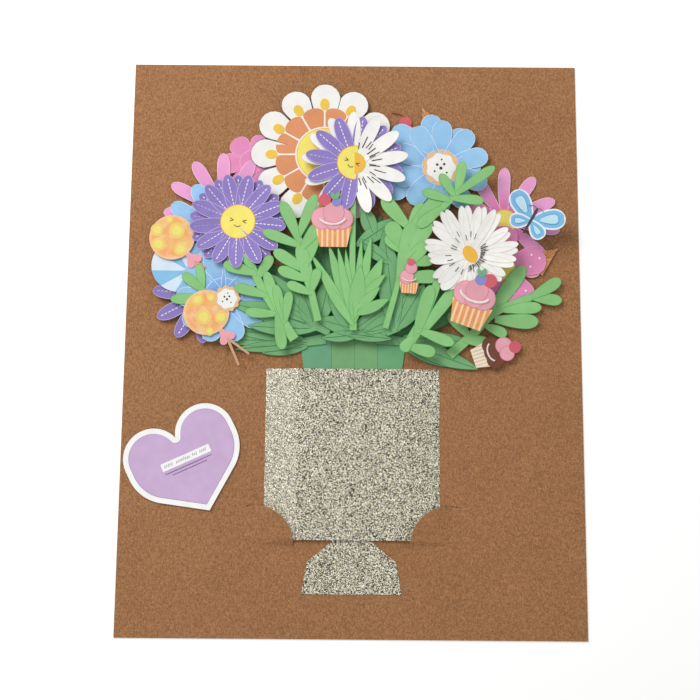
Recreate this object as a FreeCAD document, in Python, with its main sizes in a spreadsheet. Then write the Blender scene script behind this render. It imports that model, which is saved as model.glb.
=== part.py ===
import FreeCAD, Part
import math
import os
import Sketcher

# A pop up card folded flat: a kraft backing card whose two cut flaps hold a paper vase
# with a bouquet of die-cut flowers and leaves, and a heart tag that rests beside the vase.
# Every die-cut piece is one flat sheet that lies on the highest sheet under it, a small
# gap above it, because folded paper springs up a little.
# The underside of the backing card is at Z = 0 and its centre is the origin.

Vector = FreeCAD.Vector
UP = Vector(0, 0, 1)

SIZES = {
    "board_width": 200, "board_height": 254, "board_thick": 0.5, "paper": 0.3,
    "sheet_gap": 0.2,
    "vase_width": 75.4, "vase_height": 73.6, "vase_front": 48, "vase_depth": 1.3,
    "vase_wall": 0.3, "foot_height": 22.6, "foot_margin": 18.6, "foot_neck": 15.4,
    "foot_shoulder": 38, "foot_shoulder_drop": 9.2, "foot_base": 42.4,
    "flap_radius": 16.4, "flap_out": 3.7, "flap_down": 1.8, "flap_gap": 0.15,
    "collar_top": 46.3, "collar_mouth": 43, "collar_rise": 12.2, "collar_tuck": 8,
    "bouquet_rise": 12.2,
    "heart_x": -74.8, "heart_y": -46.2, "heart_turn": 27, "heart_lobe": 12.9,
    "heart_lobe_x": 12.3, "heart_cheek": 3.9, "heart_side": 18, "heart_tip": 30.8,
    "butterfly_x": 77.2, "butterfly_y": 52.7, "butterfly_turn": -30, "butterfly_wing": 15.2,
    "butterfly_wing_low": 9.4, "butterfly_body": 13, "butterfly_body_width": 1.8,
    "balloon_radius": 10, "balloon_knot": 5, "ball_radius": 12,
    "cherry_x": 22.8, "cherry_y": 100, "cherry_radius": 2.9,
    "cone_width": 12, "cone_length": 13, "cone_scoop": 5,
    "leaf_root": 1.2, "petal_root_share": 0.45,
    "wrapper_taper": 0.74, "wrapper_depth": 0.58,
}

# name: x, y of the centre from the bouquet's datum, turn of the first petal,
# petals, reach of a petal, width of a petal, radius of the middle disc
FLOWERS = {
    "magenta_flower_left": (-46, 81, 5, 6, 13.5, 9.5, 7),
    "pink_daisy_left": (-58, 58, 2, 12, 27, 7, 6),
    "retro_daisy": (-13.6, 84.4, 0, 12, 33.4, 13.4, 22),
    "pink_daisy_right": (67, 54.5, 23, 11, 25, 6.8, 6),
    "magenta_flower_right": (66, 33, 16, 5, 19.5, 12.8, 8),
    "purple_daisy_low_left": (-67, 19.6, 11.4, 11, 21.5, 6.4, 8),
    "blue_daisy_left": (-57, 19, 0, 10, 21, 9, 8),
    "blue_daisy_left_upper": (-62, 50, 7, 10, 22, 7.6, 8),
    "purple_daisy_left_under": (-51.2, 52.3, 6.9, 13, 21.5, 6.3, 8),
    "purple_daisy_left": (-51.2, 52.3, 20.8, 13, 21.5, 6.6, 8),
    "blue_daisy_right_under": (33, 80, -4, 8, 23.5, 10, 8),
    "blue_daisy_right": (38.6, 78.6, 15, 10, 22, 9.4, 8),
    "purple_daisy_centre": (0, 79.4, 20.5, 12, 22, 6.4, 7.8),
    "white_daisy_centre": (0, 79.2, 8, 13, 24, 6.2, 6),
    "white_daisy_right": (51.1, 40, 4, 15, 21.5, 6, 7),
}

# name: stem as points, stem width, leaves as root x, root y, tip x, tip y, width
SPRIGS = {
    "leaves_back": (((0, 4), (0, 30)), 10, (
        (0, 4, -44, 36, 15), (0, 4, -24, 54, 15), (0, 6, 0, 58, 14), (0, 4, 24, 54, 15),
        (0, 4, 44, 34, 15), (0, 4, -46, 12, 13), (0, 4, 50, 14, 13), (0, 4, -35, 47, 13),
        (0, 4, -12, 57, 13), (0, 4, 12, 57, 13), (0, 4, 35, 46, 13), (0, 4, 50, 24, 12),
        (0, 4, -50, 23, 12))),
    "leaves_low_left": (((-12, 1), (-24, -1)), 5, (
        (-20, 0, -63, 0, 5.5), (-22, -1, -52, -4, 5), (-20, -2.5, -40, -5.5, 5),
        (-22, 1, -55, 5, 5.5))),
    "leaves_low_right": (((10, 1), (24, 0)), 5, (
        (20, 0, 42, -11, 6), (20, 1, 55, -12, 8), (22, 2, 52, 0, 7))),
    "leaves_left": (((-10, 4), (-20, 8)), 5, (
        (-16, 6, -54, 16, 9), (-18, 8, -38, 29.5, 9), (-15, 7, -10, 29, 8.5),
        (-17, 6, -22, 21, 9), (-16, 5, -46, 6, 7), (-18, 6, -38, 13, 7))),
    "leaves_centre": (((-6, 3), (6, 3)), 4, (
        (-15, 9, 9, 2, 8), (0, 4, 17, 16, 6.5), (-1, 4, -11, 21, 7), (4, 3, 30, 15, 7.5),
        (-4, 3, 17, 0.6, 5), (4, 3, -14, 0.8, 5), (2, 3, 24, 7, 5.5))),
    "leaves_centre_right": (((14, 4), (20, 6)), 5, (
        (18, 4, 13, 49, 11), (19, 5, 31, 25, 10), (18, 5, 27, 32, 7), (16, 34, 2, 45, 6),
        (1, 42, 20, 55, 7), (9, 46, 4, 60, 7))),
    "sprig_far_left": (((-56, 12), (-66, 22)), 2.2, (
        (-62, 18, -80, 17.5, 4.8), (-65, 21, -75, 29, 4.6), (-66, 22, -68, 33, 4),
        (-60, 16, -64, 6, 4))),
    "fan_centre": (((0, 4), (-0.6, 30), (-0.4, 62)), 3.2, (
        (0, 7, -11, 42, 4.8), (0, 7, -7, 41, 3.8), (0, 8, -3.6, 40, 3.2), (1, 9, 3.4, 45, 3.2),
        (1, 8, 7.6, 46, 4.4), (1, 10, 12.5, 36, 7), (1.5, 11, 15.5, 18, 4.8),
        (0, 6, -19, 38, 4.2), (0, 6, -14, 27, 4.2), (0, 7, 3, 33, 7), (1, 15, 14, 29, 4.2),
        (1, 13, 11.5, 23, 4))),
    "sprig_left": (((-25.5, 0), (-33.8, 12.8), (-40.3, 23.1), (-45, 33)), 4.4, (
        (-43, 29, -57, 33, 5.4), (-44.5, 31.5, -47.5, 38, 4.8), (-42, 27, -36, 37, 4.8),
        (-38, 19, -52, 23, 4.8), (-32, 11, -38.5, 30, 4.8), (-33, 11, -47, 12, 4.4),
        (-30, 7, -34, 24, 4.4), (-33, 11, -30.5, -4.5, 5), (-29.5, 8, -28, 21, 4.2))),
    "sprig_centre_left": (((-15.3, 8), (-18.6, 22), (-21.2, 36), (-25, 47)), 3.4, (
        (-24.5, 44, -32, 61, 5.4), (-24.5, 45, -17, 64.5, 5), (-23, 41, -40, 47.5, 4.8),
        (-23, 40, -15.5, 51, 5.4), (-21, 32, -17, 46, 5.4), (-21, 30, -35, 39, 5.4),
        (-20.5, 26, -33, 31, 5), (-18, 20, -29, 24.5, 4.4), (-18.2, 21, -15.5, 31, 4.4),
        (-18, 20, -24, 42, 6))),
    "sprig_centre_right": (((13.9, 5), (19.5, 26), (24, 50)), 2.8, (
        (24, 50, 12.5, 63.5, 6.4), (24.5, 49, 38.5, 64, 6.6), (23, 40, 15, 52, 7.5),
        (22, 36, 33.5, 53, 7.5), (21, 27, 37.5, 28, 6), (23, 38, 14, 46, 6),
        (23.5, 42, 30, 61, 6.4), (21, 30, 32, 43, 6), (20, 27, 25.5, 52, 7.4),
        (21.5, 34, 35, 35, 5))),
    "sprig_top_right": (((36, 56), (46, 66)), 3.4, (
        (45, 64.5, 48, 80, 4.6), (45.5, 65.5, 62, 77.5, 4.6), (43, 63, 57, 62, 4.6),
        (42, 62, 30, 66, 4.6), (39, 59, 28, 50, 5), (44, 64, 38, 74, 4.4))),
    "sprig_right": (((24, -2), (30, 9), (35, 21), (38, 30)), 4.6, (
        (24, -3, 35.5, -5.8, 5.4), (28, 4, 43.5, -1.8, 5), (30, 3, 45.5, 24, 5.6),
        (26, 1, 21, -5, 5), (44, 20, 50, 35, 5), (27, 1, 34, 24, 6))),
    "sprig_far_right": (((42, -6), (52, 3), (62, 13), (80, 21)), 4.4, (
        (59, 11, 75.5, 34, 7), (78, 20, 91, 28, 5.4), (78, 20, 91.5, 18.5, 5.2),
        (66, 14, 82.5, 15.5, 5.4), (62, 10, 81, 9, 6.6), (58, 7, 67, 3, 4.8),
        (50, 3, 42, 13, 6), (48, 1, 59, 0, 5))),
}

# name: x, y of the middle of the wrapper's top edge, turn, wrapper width
CUPCAKES = {
    "cupcake_small": (24.2, 25.2, -4, 8.4),
    "cupcake_centre": (-9, 50, 0, 16),
    "cupcake_right": (51.6, 15.8, -19, 18),
    "cupcake_chocolate": (58.4, -5.6, -72, 11),
}

# Discs of frosting and fruit: x, y and radius as shares of the wrapper's width.
TOPPINGS = {
    "cupcake_small": ((-0.15, 0.25, 0.38), (0.05, 0.75, 0.32), (0.02, 1.05, 0.2)),
    "cupcake_centre": ((-0.3, 0.22, 0.32), (0.24, 0.2, 0.3), (0, 0.15, 0.26), (0, 0.38, 0.3),
                       (-0.25, 0.74, 0.17), (0.08, 0.68, 0.13)),
    "cupcake_right": ((-0.24, 0.2, 0.3), (0.2, 0.2, 0.3), (0, 0.15, 0.26), (0, 0.34, 0.28),
                      (0.22, 0.66, 0.17), (0, 0.62, 0.14)),
    "cupcake_chocolate": ((-0.3, 0.24, 0.34), (0.3, 0.24, 0.34), (0, 0.25, 0.36),
                          (0, 0.55, 0.3), (-0.14, 0.74, 0.34), (0.2, 0.76, 0.3),
                          (0.05, 1.14, 0.24)),
}

# name: x, y of the centre, turn of the knot, radius alias, length of the tail
BALLOONS = {
    "striped_ball": (-77, 33, -30, "ball_radius", 4),
    "balloon_upper": (-80.2, 45.2, -46, "balloon_radius", 4),
    "balloon_lower": (-64.1, 11.7, -50, "balloon_radius", 10),
}

# name: x, y of the tip, turn from tip to scoop
CONES = {
    "cone_top": (30.6, 106.8, -66),
    "cone_right": (90.4, 42.2, 215),
}

# Sheets from back to front: the order in which they are laid down.
LAYING_ORDER = (
    "leaves_back", "leaves_low_left", "leaves_low_right", "magenta_flower_left",
    "pink_daisy_left", "cone_top", "cherry", "retro_daisy", "pink_daisy_right", "cone_right",
    "magenta_flower_right", "purple_daisy_low_left", "blue_daisy_left_upper", "striped_ball",
    "blue_daisy_left", "balloon_upper", "leaves_left", "leaves_centre", "leaves_centre_right",
    "purple_daisy_left_under", "purple_daisy_left", "sprig_far_left", "balloon_lower",
    "blue_daisy_right_under", "blue_daisy_right", "crossed_daisies", "fan_centre", "sprig_left",
    "sprig_centre_left", "sprig_centre_right", "cupcake_small", "sprig_top_right",
    "cupcake_centre", "sprig_far_right", "sprig_right", "white_daisy_right",
    "cupcake_right", "cupcake_chocolate", "butterfly",
)

MOUTH = "(sizes.foot_margin + sizes.foot_height + sizes.vase_height - sizes.board_height / 2)"
VASE_FLOOR = "(sizes.foot_margin + sizes.foot_height - sizes.board_height / 2)"
DATUM = f"({MOUTH} + sizes.bouquet_rise)"
SIDE_RUN = "((sizes.vase_width - sizes.vase_front) / 2)"

for name, values in FLOWERS.items():
    keys = ("x", "y", "turn", "petals", "reach", "petal_width", "middle")
    SIZES.update({f"{name}_{key}": value for key, value in zip(keys, values)})
for name, values in CUPCAKES.items():
    SIZES.update({f"{name}_{key}": value for key, value in zip(("x", "y", "turn", "width"), values)})
for name, (x, y, turn, radius, tail) in BALLOONS.items():
    SIZES.update({f"{name}_x": x, f"{name}_y": y, f"{name}_turn": turn, f"{name}_tail": tail})
for name, values in CONES.items():
    SIZES.update({f"{name}_{key}": value for key, value in zip(("x", "y", "turn"), values)})

doc = FreeCAD.newDocument("PopUpCard")
sizes = doc.addObject("Spreadsheet::Sheet", "sizes")
for row, (alias, value) in enumerate(SIZES.items(), start=1):
    sizes.set(f"A{row}", alias)
    sizes.set(f"B{row}", str(value))
    sizes.setAlias(f"B{row}", alias)
doc.recompute()


def value_of(expression):
    """Number that an expression on the sheet gives, for a sketch's first guess."""
    return float(sizes.evalExpression(str(expression).replace("sizes.", "")))


def new_body(name):
    body = doc.addObject("PartDesign::Body", name)
    body.Label = name
    return body


def origin_feature(body, role):
    return next(f for f in body.Origin.OriginFeatures if f.Role == role)


def new_sketch(body, name, role="XY_Plane", x=0, y=0, turn=0):
    sketch = body.newObject("Sketcher::SketchObject", name)
    sketch.AttachmentSupport = [(origin_feature(body, role), "")]
    sketch.MapMode = "FlatFace"
    sketch.AttachmentOffset = FreeCAD.Placement(Vector(x, y, 0), FreeCAD.Rotation(UP, turn))
    return sketch


def bind(sketch, constraint, expression=None):
    index = sketch.addConstraint(constraint)
    if expression is not None:
        sketch.setExpression(f"Constraints[{index}]", str(expression))


def place_point(sketch, geometry, end, x, y):
    bind(sketch, Sketcher.Constraint("DistanceX", -1, 1, geometry, end, value_of(x)), x)
    bind(sketch, Sketcher.Constraint("DistanceY", -1, 1, geometry, end, value_of(y)), y)


def polygon(sketch, points):
    """Closed outline of straight edges; each point is a pair of expressions."""
    first = sketch.GeometryCount
    spots = [Vector(value_of(x), value_of(y), 0) for x, y in points]
    for start, end in zip(spots, spots[1:] + spots[:1]):
        sketch.addGeometry(Part.LineSegment(start, end), False)
    for i, (x, y) in enumerate(points):
        after = first + (i + 1) % len(points)
        sketch.addConstraint(Sketcher.Constraint("Coincident", first + i, 2, after, 1))
        place_point(sketch, first + i, 1, x, y)


def disc(sketch, x, y, radius):
    centre = Vector(value_of(x), value_of(y), 0)
    index = sketch.addGeometry(Part.Circle(centre, UP, value_of(radius)), False)
    place_point(sketch, index, 3, x, y)
    bind(sketch, Sketcher.Constraint("Radius", index, value_of(radius)), radius)


def blade(sketch, reach, width, root):
    """Petal or leaf along +X: straight sides from a narrow root to a round tip."""
    tip_radius, root_half = f"({width}) / 2", f"({root}) / 2"
    tip_x = f"({reach}) - ({width}) / 2"
    r, cx, half = value_of(tip_radius), value_of(tip_x), value_of(root_half)
    centre = Vector(cx, 0, 0)
    quarter = math.pi / 2
    sketch.addGeometry(Part.ArcOfCircle(Part.Circle(centre, UP, r), -quarter, quarter), False)
    sketch.addGeometry(Part.LineSegment(Vector(cx, r, 0), Vector(0, half, 0)), False)
    sketch.addGeometry(Part.LineSegment(Vector(0, half, 0), Vector(0, -half, 0)), False)
    sketch.addGeometry(Part.LineSegment(Vector(0, -half, 0), Vector(cx, -r, 0)), False)
    for before, after in ((0, 1), (1, 2), (2, 3)):
        sketch.addConstraint(Sketcher.Constraint("Coincident", before, 2, after, 1))
    sketch.addConstraint(Sketcher.Constraint("Coincident", 3, 2, 0, 1))
    sketch.addConstraint(Sketcher.Constraint("PointOnObject", 0, 3, -1))
    sketch.addConstraint(Sketcher.Constraint("Vertical", 0, 1, 0, 2))
    sketch.addConstraint(Sketcher.Constraint("Vertical", 0, 2, 0, 3))
    bind(sketch, Sketcher.Constraint("Radius", 0, r), tip_radius)
    bind(sketch, Sketcher.Constraint("DistanceX", -1, 1, 0, 3, cx), tip_x)
    sketch.addConstraint(Sketcher.Constraint("Vertical", 2))
    sketch.addConstraint(Sketcher.Constraint("PointOnObject", 1, 2, -2))
    bind(sketch, Sketcher.Constraint("DistanceY", -1, 1, 1, 2, half), root_half)
    bind(sketch, Sketcher.Constraint("DistanceY", 2, 2, -1, 1, half), root_half)


def pad(body, sketch, thickness="sizes.paper", reverse=False):
    feature = body.newObject("PartDesign::Pad", f"{sketch.Name}_pad")
    feature.Profile = sketch
    feature.setExpression("Length", thickness)
    feature.Reversed = reverse
    sketch.Visibility = False
    return feature


def ring(body, feature, count):
    pattern = body.newObject("PartDesign::PolarPattern", f"{feature.Name}_ring")
    pattern.Originals = [feature]
    pattern.Axis = (origin_feature(body, "Z_Axis"), [""])
    pattern.Angle = 360
    pattern.setExpression("Occurrences", count)
    body.Tip = pattern
    return pattern


def mirror(body, features, role):
    pattern = body.newObject("PartDesign::Mirrored", f"{features[-1].Name}_mirror")
    pattern.Originals = features
    pattern.MirrorPlane = (origin_feature(body, role), [""])
    body.Tip = pattern
    return pattern


def put(body, x, y, turn=None):
    """Bind the piece's place on the card; its level is set when it is laid down."""
    body.Placement = FreeCAD.Placement(Vector(0, 0, 0), FreeCAD.Rotation(UP, 30))
    body.setExpression("Placement.Base.x", x)
    body.setExpression("Placement.Base.y", y)
    body.setExpression("Placement.Rotation.Angle", turn or "0")


def put_on_bouquet(body, name):
    put(body, f"sizes.{name}_x", f"sizes.{name}_y + {DATUM}", f"sizes.{name}_turn")


def flower(name):
    body = new_body(name)
    middle = new_sketch(body, f"{name}_disc")
    disc(middle, 0, 0, f"sizes.{name}_middle")
    pad(body, middle)
    petal = new_sketch(body, f"{name}_petal")
    blade(petal, f"sizes.{name}_reach", f"sizes.{name}_petal_width",
          f"sizes.{name}_petal_width * sizes.petal_root_share")
    ring(body, pad(body, petal), f"sizes.{name}_petals")
    put_on_bouquet(body, name)
    return body


def leaf(body, name, root_x, root_y, tip_x, tip_y, width):
    run = Vector(tip_x - root_x, tip_y - root_y, 0)
    turn = math.degrees(math.atan2(run.y, run.x))
    sketch = new_sketch(body, name, x=root_x, y=root_y, turn=turn)
    blade(sketch, run.Length, width, "sizes.leaf_root")
    return pad(body, sketch)


def sprig(name):
    """Foliage cut in one piece: a stem of straight stretches with leaves on it."""
    stem, stem_width, leaves = SPRIGS[name]
    body = new_body(name)
    for i, (start, end) in enumerate(zip(stem, stem[1:])):
        run = Vector(end[0] - start[0], end[1] - start[1], 0)
        turn = math.degrees(math.atan2(run.y, run.x))
        sketch = new_sketch(body, f"{name}_stem_{i}", x=start[0], y=start[1], turn=turn)
        blade(sketch, run.Length + stem_width / 2, stem_width, stem_width)
        pad(body, sketch)
    for i, values in enumerate(leaves):
        leaf(body, f"{name}_leaf_{i}", *values)
    put(body, "0", DATUM)
    return body


def cupcake(name):
    body = new_body(name)
    width = f"sizes.{name}_width"
    wrapper = new_sketch(body, f"{name}_wrapper")
    low = f"{width} * sizes.wrapper_taper / 2"
    depth = f"-{width} * sizes.wrapper_depth"
    polygon(wrapper, ((f"-{width} / 2", "0"), (f"-{low}", depth), (low, depth), (f"{width} / 2", "0")))
    pad(body, wrapper)
    for i, (x, y, radius) in enumerate(TOPPINGS[name]):
        topping = new_sketch(body, f"{name}_topping_{i}")
        disc(topping, f"{width} * {x}", f"{width} * {y}", f"{width} * {radius}")
        pad(body, topping)
    put_on_bouquet(body, name)
    return body


def balloon(name):
    body = new_body(name)
    radius = f"sizes.{BALLOONS[name][3]}"
    skin = new_sketch(body, f"{name}_skin")
    disc(skin, "0", "0", radius)
    pad(body, skin)
    knot = new_sketch(body, f"{name}_knot")
    far = f"({radius} + sizes.balloon_knot)"
    polygon(knot, ((f"{radius} * 0.9", "0"), (far, f"-sizes.balloon_knot / 2"),
                   (far, f"sizes.balloon_knot / 2")))
    pad(body, knot)
    tail = new_sketch(body, f"{name}_tail")
    blade(tail, f"{radius} + sizes.balloon_knot * 0.6 + sizes.{name}_tail", "sizes.leaf_root",
          "sizes.leaf_root")
    pad(body, tail)
    put_on_bouquet(body, name)
    return body


def cone(name):
    """Waffle cone with its tip at the piece's origin and its scoop along +X."""
    body = new_body(name)
    waffle = new_sketch(body, f"{name}_waffle")
    polygon(waffle, (("0", "0"), ("sizes.cone_length", "-sizes.cone_width / 2"),
                     ("sizes.cone_length", "sizes.cone_width / 2")))
    pad(body, waffle)
    scoop = new_sketch(body, f"{name}_scoop")
    disc(scoop, "sizes.cone_length", "0", "sizes.cone_scoop")
    pad(body, scoop)
    put_on_bouquet(body, name)
    return body


def cherry():
    body = new_body("cherry")
    fruit = new_sketch(body, "cherry_fruit")
    disc(fruit, "0", "0", "sizes.cherry_radius")
    pad(body, fruit)
    cream = new_sketch(body, "cherry_cream")
    disc(cream, "0", "-sizes.cherry_radius * 1.5", "sizes.cherry_radius * 1.2")
    pad(body, cream)
    stalk = new_sketch(body, "cherry_stalk", turn=140)
    blade(stalk, "sizes.cherry_radius * 2.9", "sizes.leaf_root * 0.7", "sizes.leaf_root * 0.7")
    pad(body, stalk)
    put(body, "sizes.cherry_x", f"sizes.cherry_y + {DATUM}")
    return body


def butterfly():
    body = new_body("butterfly")
    trunk = new_sketch(body, "butterfly_trunk", turn=-90)
    blade(trunk, "sizes.butterfly_body / 2", "sizes.butterfly_body_width",
          "sizes.butterfly_body_width")
    pad(body, trunk)
    head = new_sketch(body, "butterfly_head", turn=90)
    blade(head, "sizes.butterfly_body / 2", "sizes.butterfly_body_width",
          "sizes.butterfly_body_width")
    pad(body, head)
    wings = []
    for place, turn, span, wide in (("upper", 33, "butterfly_wing", 0.6),
                                    ("lower", -30, "butterfly_wing_low", 0.7)):
        wing = new_sketch(body, f"butterfly_wing_{place}", turn=turn)
        blade(wing, f"sizes.{span}", f"sizes.{span} * {wide}", "sizes.butterfly_body_width")
        wings.append(pad(body, wing))
    mirror(body, wings, "YZ_Plane")
    put_on_bouquet(body, "butterfly")
    return body


def collar():
    """Green band that carries the bouquet; its foot is tucked into the vase."""
    body = new_body("collar")
    band = new_sketch(body, "collar_band")
    polygon(band, (("-sizes.collar_mouth / 2", "-sizes.collar_tuck"),
                   ("sizes.collar_mouth / 2", "-sizes.collar_tuck"),
                   ("sizes.collar_mouth / 2", "0"),
                   ("sizes.collar_top / 2", "sizes.collar_rise"),
                   ("-sizes.collar_top / 2", "sizes.collar_rise"),
                   ("-sizes.collar_mouth / 2", "0")))
    pad(body, band)
    put(body, "0", MOUTH)
    return body


def vase():
    """Paper tube pressed nearly flat: a flat back, a raised front and two sloping sides."""
    body = new_body("vase")
    wide, depth = "sizes.vase_width / 2", "sizes.vase_depth"
    front, wall = "sizes.vase_front / 2", "sizes.vase_wall"
    inset = f"{wall} * 2 * {SIDE_RUN} / {depth}"
    section = new_sketch(body, "vase_section", "XZ_Plane")
    polygon(section, ((f"-{wide}", "0"), (wide, "0"), (front, depth), (f"-{front}", depth)))
    polygon(section, ((f"-({wide} - {inset})", wall), (f"{wide} - {inset}", wall),
                      (front, f"{depth} - {wall}"), (f"-{front}", f"{depth} - {wall}")))
    pad(body, section, "sizes.vase_height", reverse=True)
    foot = new_sketch(body, "vase_foot")
    neck, shoulder, base = "sizes.foot_neck / 2", "sizes.foot_shoulder / 2", "sizes.foot_base / 2"
    drop, low = "-sizes.foot_shoulder_drop", "-sizes.foot_height"
    polygon(foot, ((f"-{neck}", "0"), (f"-{shoulder}", drop), (f"-{base}", low), (base, low),
                   (shoulder, drop), (neck, "0")))
    pad(body, foot, "sizes.vase_wall")
    put(body, "0", VASE_FLOOR)
    return body


def backing_card():
    """Card with two half-round flaps, cut free and bent up over the vase's lower corners."""
    body = new_body("backing_card")
    blank = new_sketch(body, "card_blank")
    wide, tall = "sizes.board_width / 2", "sizes.board_height / 2"
    polygon(blank, ((f"-{wide}", f"-{tall}"), (wide, f"-{tall}"), (wide, tall), (f"-{wide}", tall)))
    pad(body, blank, "sizes.board_thick")
    side = "(sizes.vase_width / 2 + sizes.flap_out)"
    level = f"({VASE_FLOOR} - sizes.flap_down)"
    reach = f"((sizes.flap_out + {SIDE_RUN} + sizes.flap_down) / sqrt(2))"
    lift = f"(sizes.board_thick + sizes.vase_depth + sizes.flap_gap) / {reach}"
    window = half_disc(body, "card_window", f"{side}", level, 135)
    hole = body.newObject("PartDesign::Pocket", "card_window_cut")
    hole.Profile = window
    hole.Type = "ThroughAll"
    hole.Reversed = True
    mirror(body, [hole], "YZ_Plane")
    flap = half_disc(body, "card_flap", f"{side}", level, 135, f"atan({lift})")
    flap_pad = pad(body, flap, "sizes.board_thick")
    mirror(body, [flap_pad], "YZ_Plane")
    return body


def half_disc(body, name, x, y, turn, tilt=None):
    """Half disc on the +X side of its sketch, turned in plan and tilted up about its chord."""
    sketch = new_sketch(body, name)
    radius = "sizes.flap_radius"
    r = value_of(radius)
    quarter = math.pi / 2
    sketch.addGeometry(Part.ArcOfCircle(Part.Circle(Vector(0, 0, 0), UP, r), -quarter, quarter), False)
    sketch.addGeometry(Part.LineSegment(Vector(0, r, 0), Vector(0, -r, 0)), False)
    sketch.addConstraint(Sketcher.Constraint("Coincident", 0, 2, 1, 1))
    sketch.addConstraint(Sketcher.Constraint("Coincident", 1, 2, 0, 1))
    sketch.addConstraint(Sketcher.Constraint("Coincident", 0, 3, -1, 1))
    sketch.addConstraint(Sketcher.Constraint("Vertical", 1))
    bind(sketch, Sketcher.Constraint("Radius", 0, r), radius)
    plan = FreeCAD.Rotation(UP, turn)
    bend = FreeCAD.Rotation(Vector(0, -1, 0), value_of(tilt) if tilt else 0)
    sketch.AttachmentOffset = FreeCAD.Placement(Vector(0, 0, 0), plan.multiply(bend))
    sketch.setExpression("AttachmentOffset.Base.x", x)
    sketch.setExpression("AttachmentOffset.Base.y", y)
    return sketch


def heart_tag():
    """Heart: one half is drawn with its lobe's centre on the X axis, then mirrored."""
    body = new_body("heart_tag")
    half = new_sketch(body, "heart_half")
    lobe, lobe_x, cheek, bow, tip = (
        value_of(f"sizes.heart_{part}") for part in ("lobe", "lobe_x", "cheek", "side", "tip"))
    notch = Vector(0, math.sqrt(lobe ** 2 - lobe_x ** 2), 0)
    widest = Vector(lobe_x + lobe, 0, 0)
    lowest = Vector(0, -tip, 0)
    # The side drops upright, turns in through an arc and runs straight to the tip.
    centre = widest + Vector(-bow, -cheek, 0)
    to_tip = lowest - centre
    touch_angle = math.atan2(to_tip.y, to_tip.x) + math.acos(bow / to_tip.Length)
    touch = centre + Vector(math.cos(touch_angle), math.sin(touch_angle), 0) * bow
    lobe_arc = Part.Circle(Vector(lobe_x, 0, 0), UP, lobe)
    side_arc = Part.Circle(centre, UP, bow)
    half.addGeometry(Part.ArcOfCircle(lobe_arc, 0, math.atan2(notch.y, -lobe_x)), False)
    half.addGeometry(Part.LineSegment(widest, centre + Vector(bow, 0, 0)), False)
    half.addGeometry(Part.ArcOfCircle(side_arc, touch_angle, 0), False)
    half.addGeometry(Part.LineSegment(touch, lowest), False)
    half.addGeometry(Part.LineSegment(notch, lowest), False)
    half.addConstraint(Sketcher.Constraint("Coincident", 0, 1, 1, 1))
    half.addConstraint(Sketcher.Constraint("Tangent", 1, 2, 2, 2))
    half.addConstraint(Sketcher.Constraint("Tangent", 2, 1, 3, 1))
    half.addConstraint(Sketcher.Constraint("Coincident", 3, 2, 4, 2))
    half.addConstraint(Sketcher.Constraint("Coincident", 4, 1, 0, 2))
    half.addConstraint(Sketcher.Constraint("Vertical", 1))
    half.addConstraint(Sketcher.Constraint("PointOnObject", 0, 3, -1))
    half.addConstraint(Sketcher.Constraint("PointOnObject", 0, 1, -1))
    half.addConstraint(Sketcher.Constraint("PointOnObject", 4, 1, -2))
    half.addConstraint(Sketcher.Constraint("PointOnObject", 4, 2, -2))
    bind(half, Sketcher.Constraint("Radius", 0, lobe), "sizes.heart_lobe")
    bind(half, Sketcher.Constraint("Radius", 2, bow), "sizes.heart_side")
    bind(half, Sketcher.Constraint("DistanceX", -1, 1, 0, 3, lobe_x), "sizes.heart_lobe_x")
    bind(half, Sketcher.Constraint("DistanceY", 1, 2, 1, 1, cheek), "sizes.heart_cheek")
    bind(half, Sketcher.Constraint("DistanceY", 4, 2, -1, 1, tip), "sizes.heart_tip")
    half_pad = pad(body, half)
    mirror(body, [half_pad], "YZ_Plane")
    put(body, "sizes.heart_x", f"sizes.heart_y + {DATUM}", "sizes.heart_turn")
    return body


def check(shape, name):
    if shape.isNull() or not shape.isValid() or shape.Volume <= 0:
        raise RuntimeError(f"{name} has no valid shape")


def overlap(first, second):
    """True where two sheets that are laid at Z = 0 cover the same area."""
    if not first.BoundBox.intersect(second.BoundBox):
        return False
    return first.common(second).Volume > 1e-4


def grounded(shape):
    flat = shape.copy()
    flat.translate(Vector(0, 0, -flat.BoundBox.ZMin))
    return flat


card = backing_card()
vase_body = vase()
collar_body = collar()
heart = heart_tag()
bodies = {name: flower(name) for name in FLOWERS}
bodies.update({name: sprig(name) for name in SPRIGS})
bodies.update({name: cupcake(name) for name in CUPCAKES})
bodies.update({name: balloon(name) for name in BALLOONS})
bodies.update({name: cone(name) for name in CONES})
bodies["cherry"] = cherry()
bodies["butterfly"] = butterfly()
doc.recompute()

paper = value_of("sizes.paper")
pitch = paper + value_of("sizes.sheet_gap")
card_top = value_of("sizes.board_thick")
vase_top = card_top + value_of("sizes.vase_depth")
collar_level = card_top + value_of("sizes.vase_wall")
CROSSED = {"purple_daisy_centre": -1, "white_daisy_centre": 1}


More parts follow.
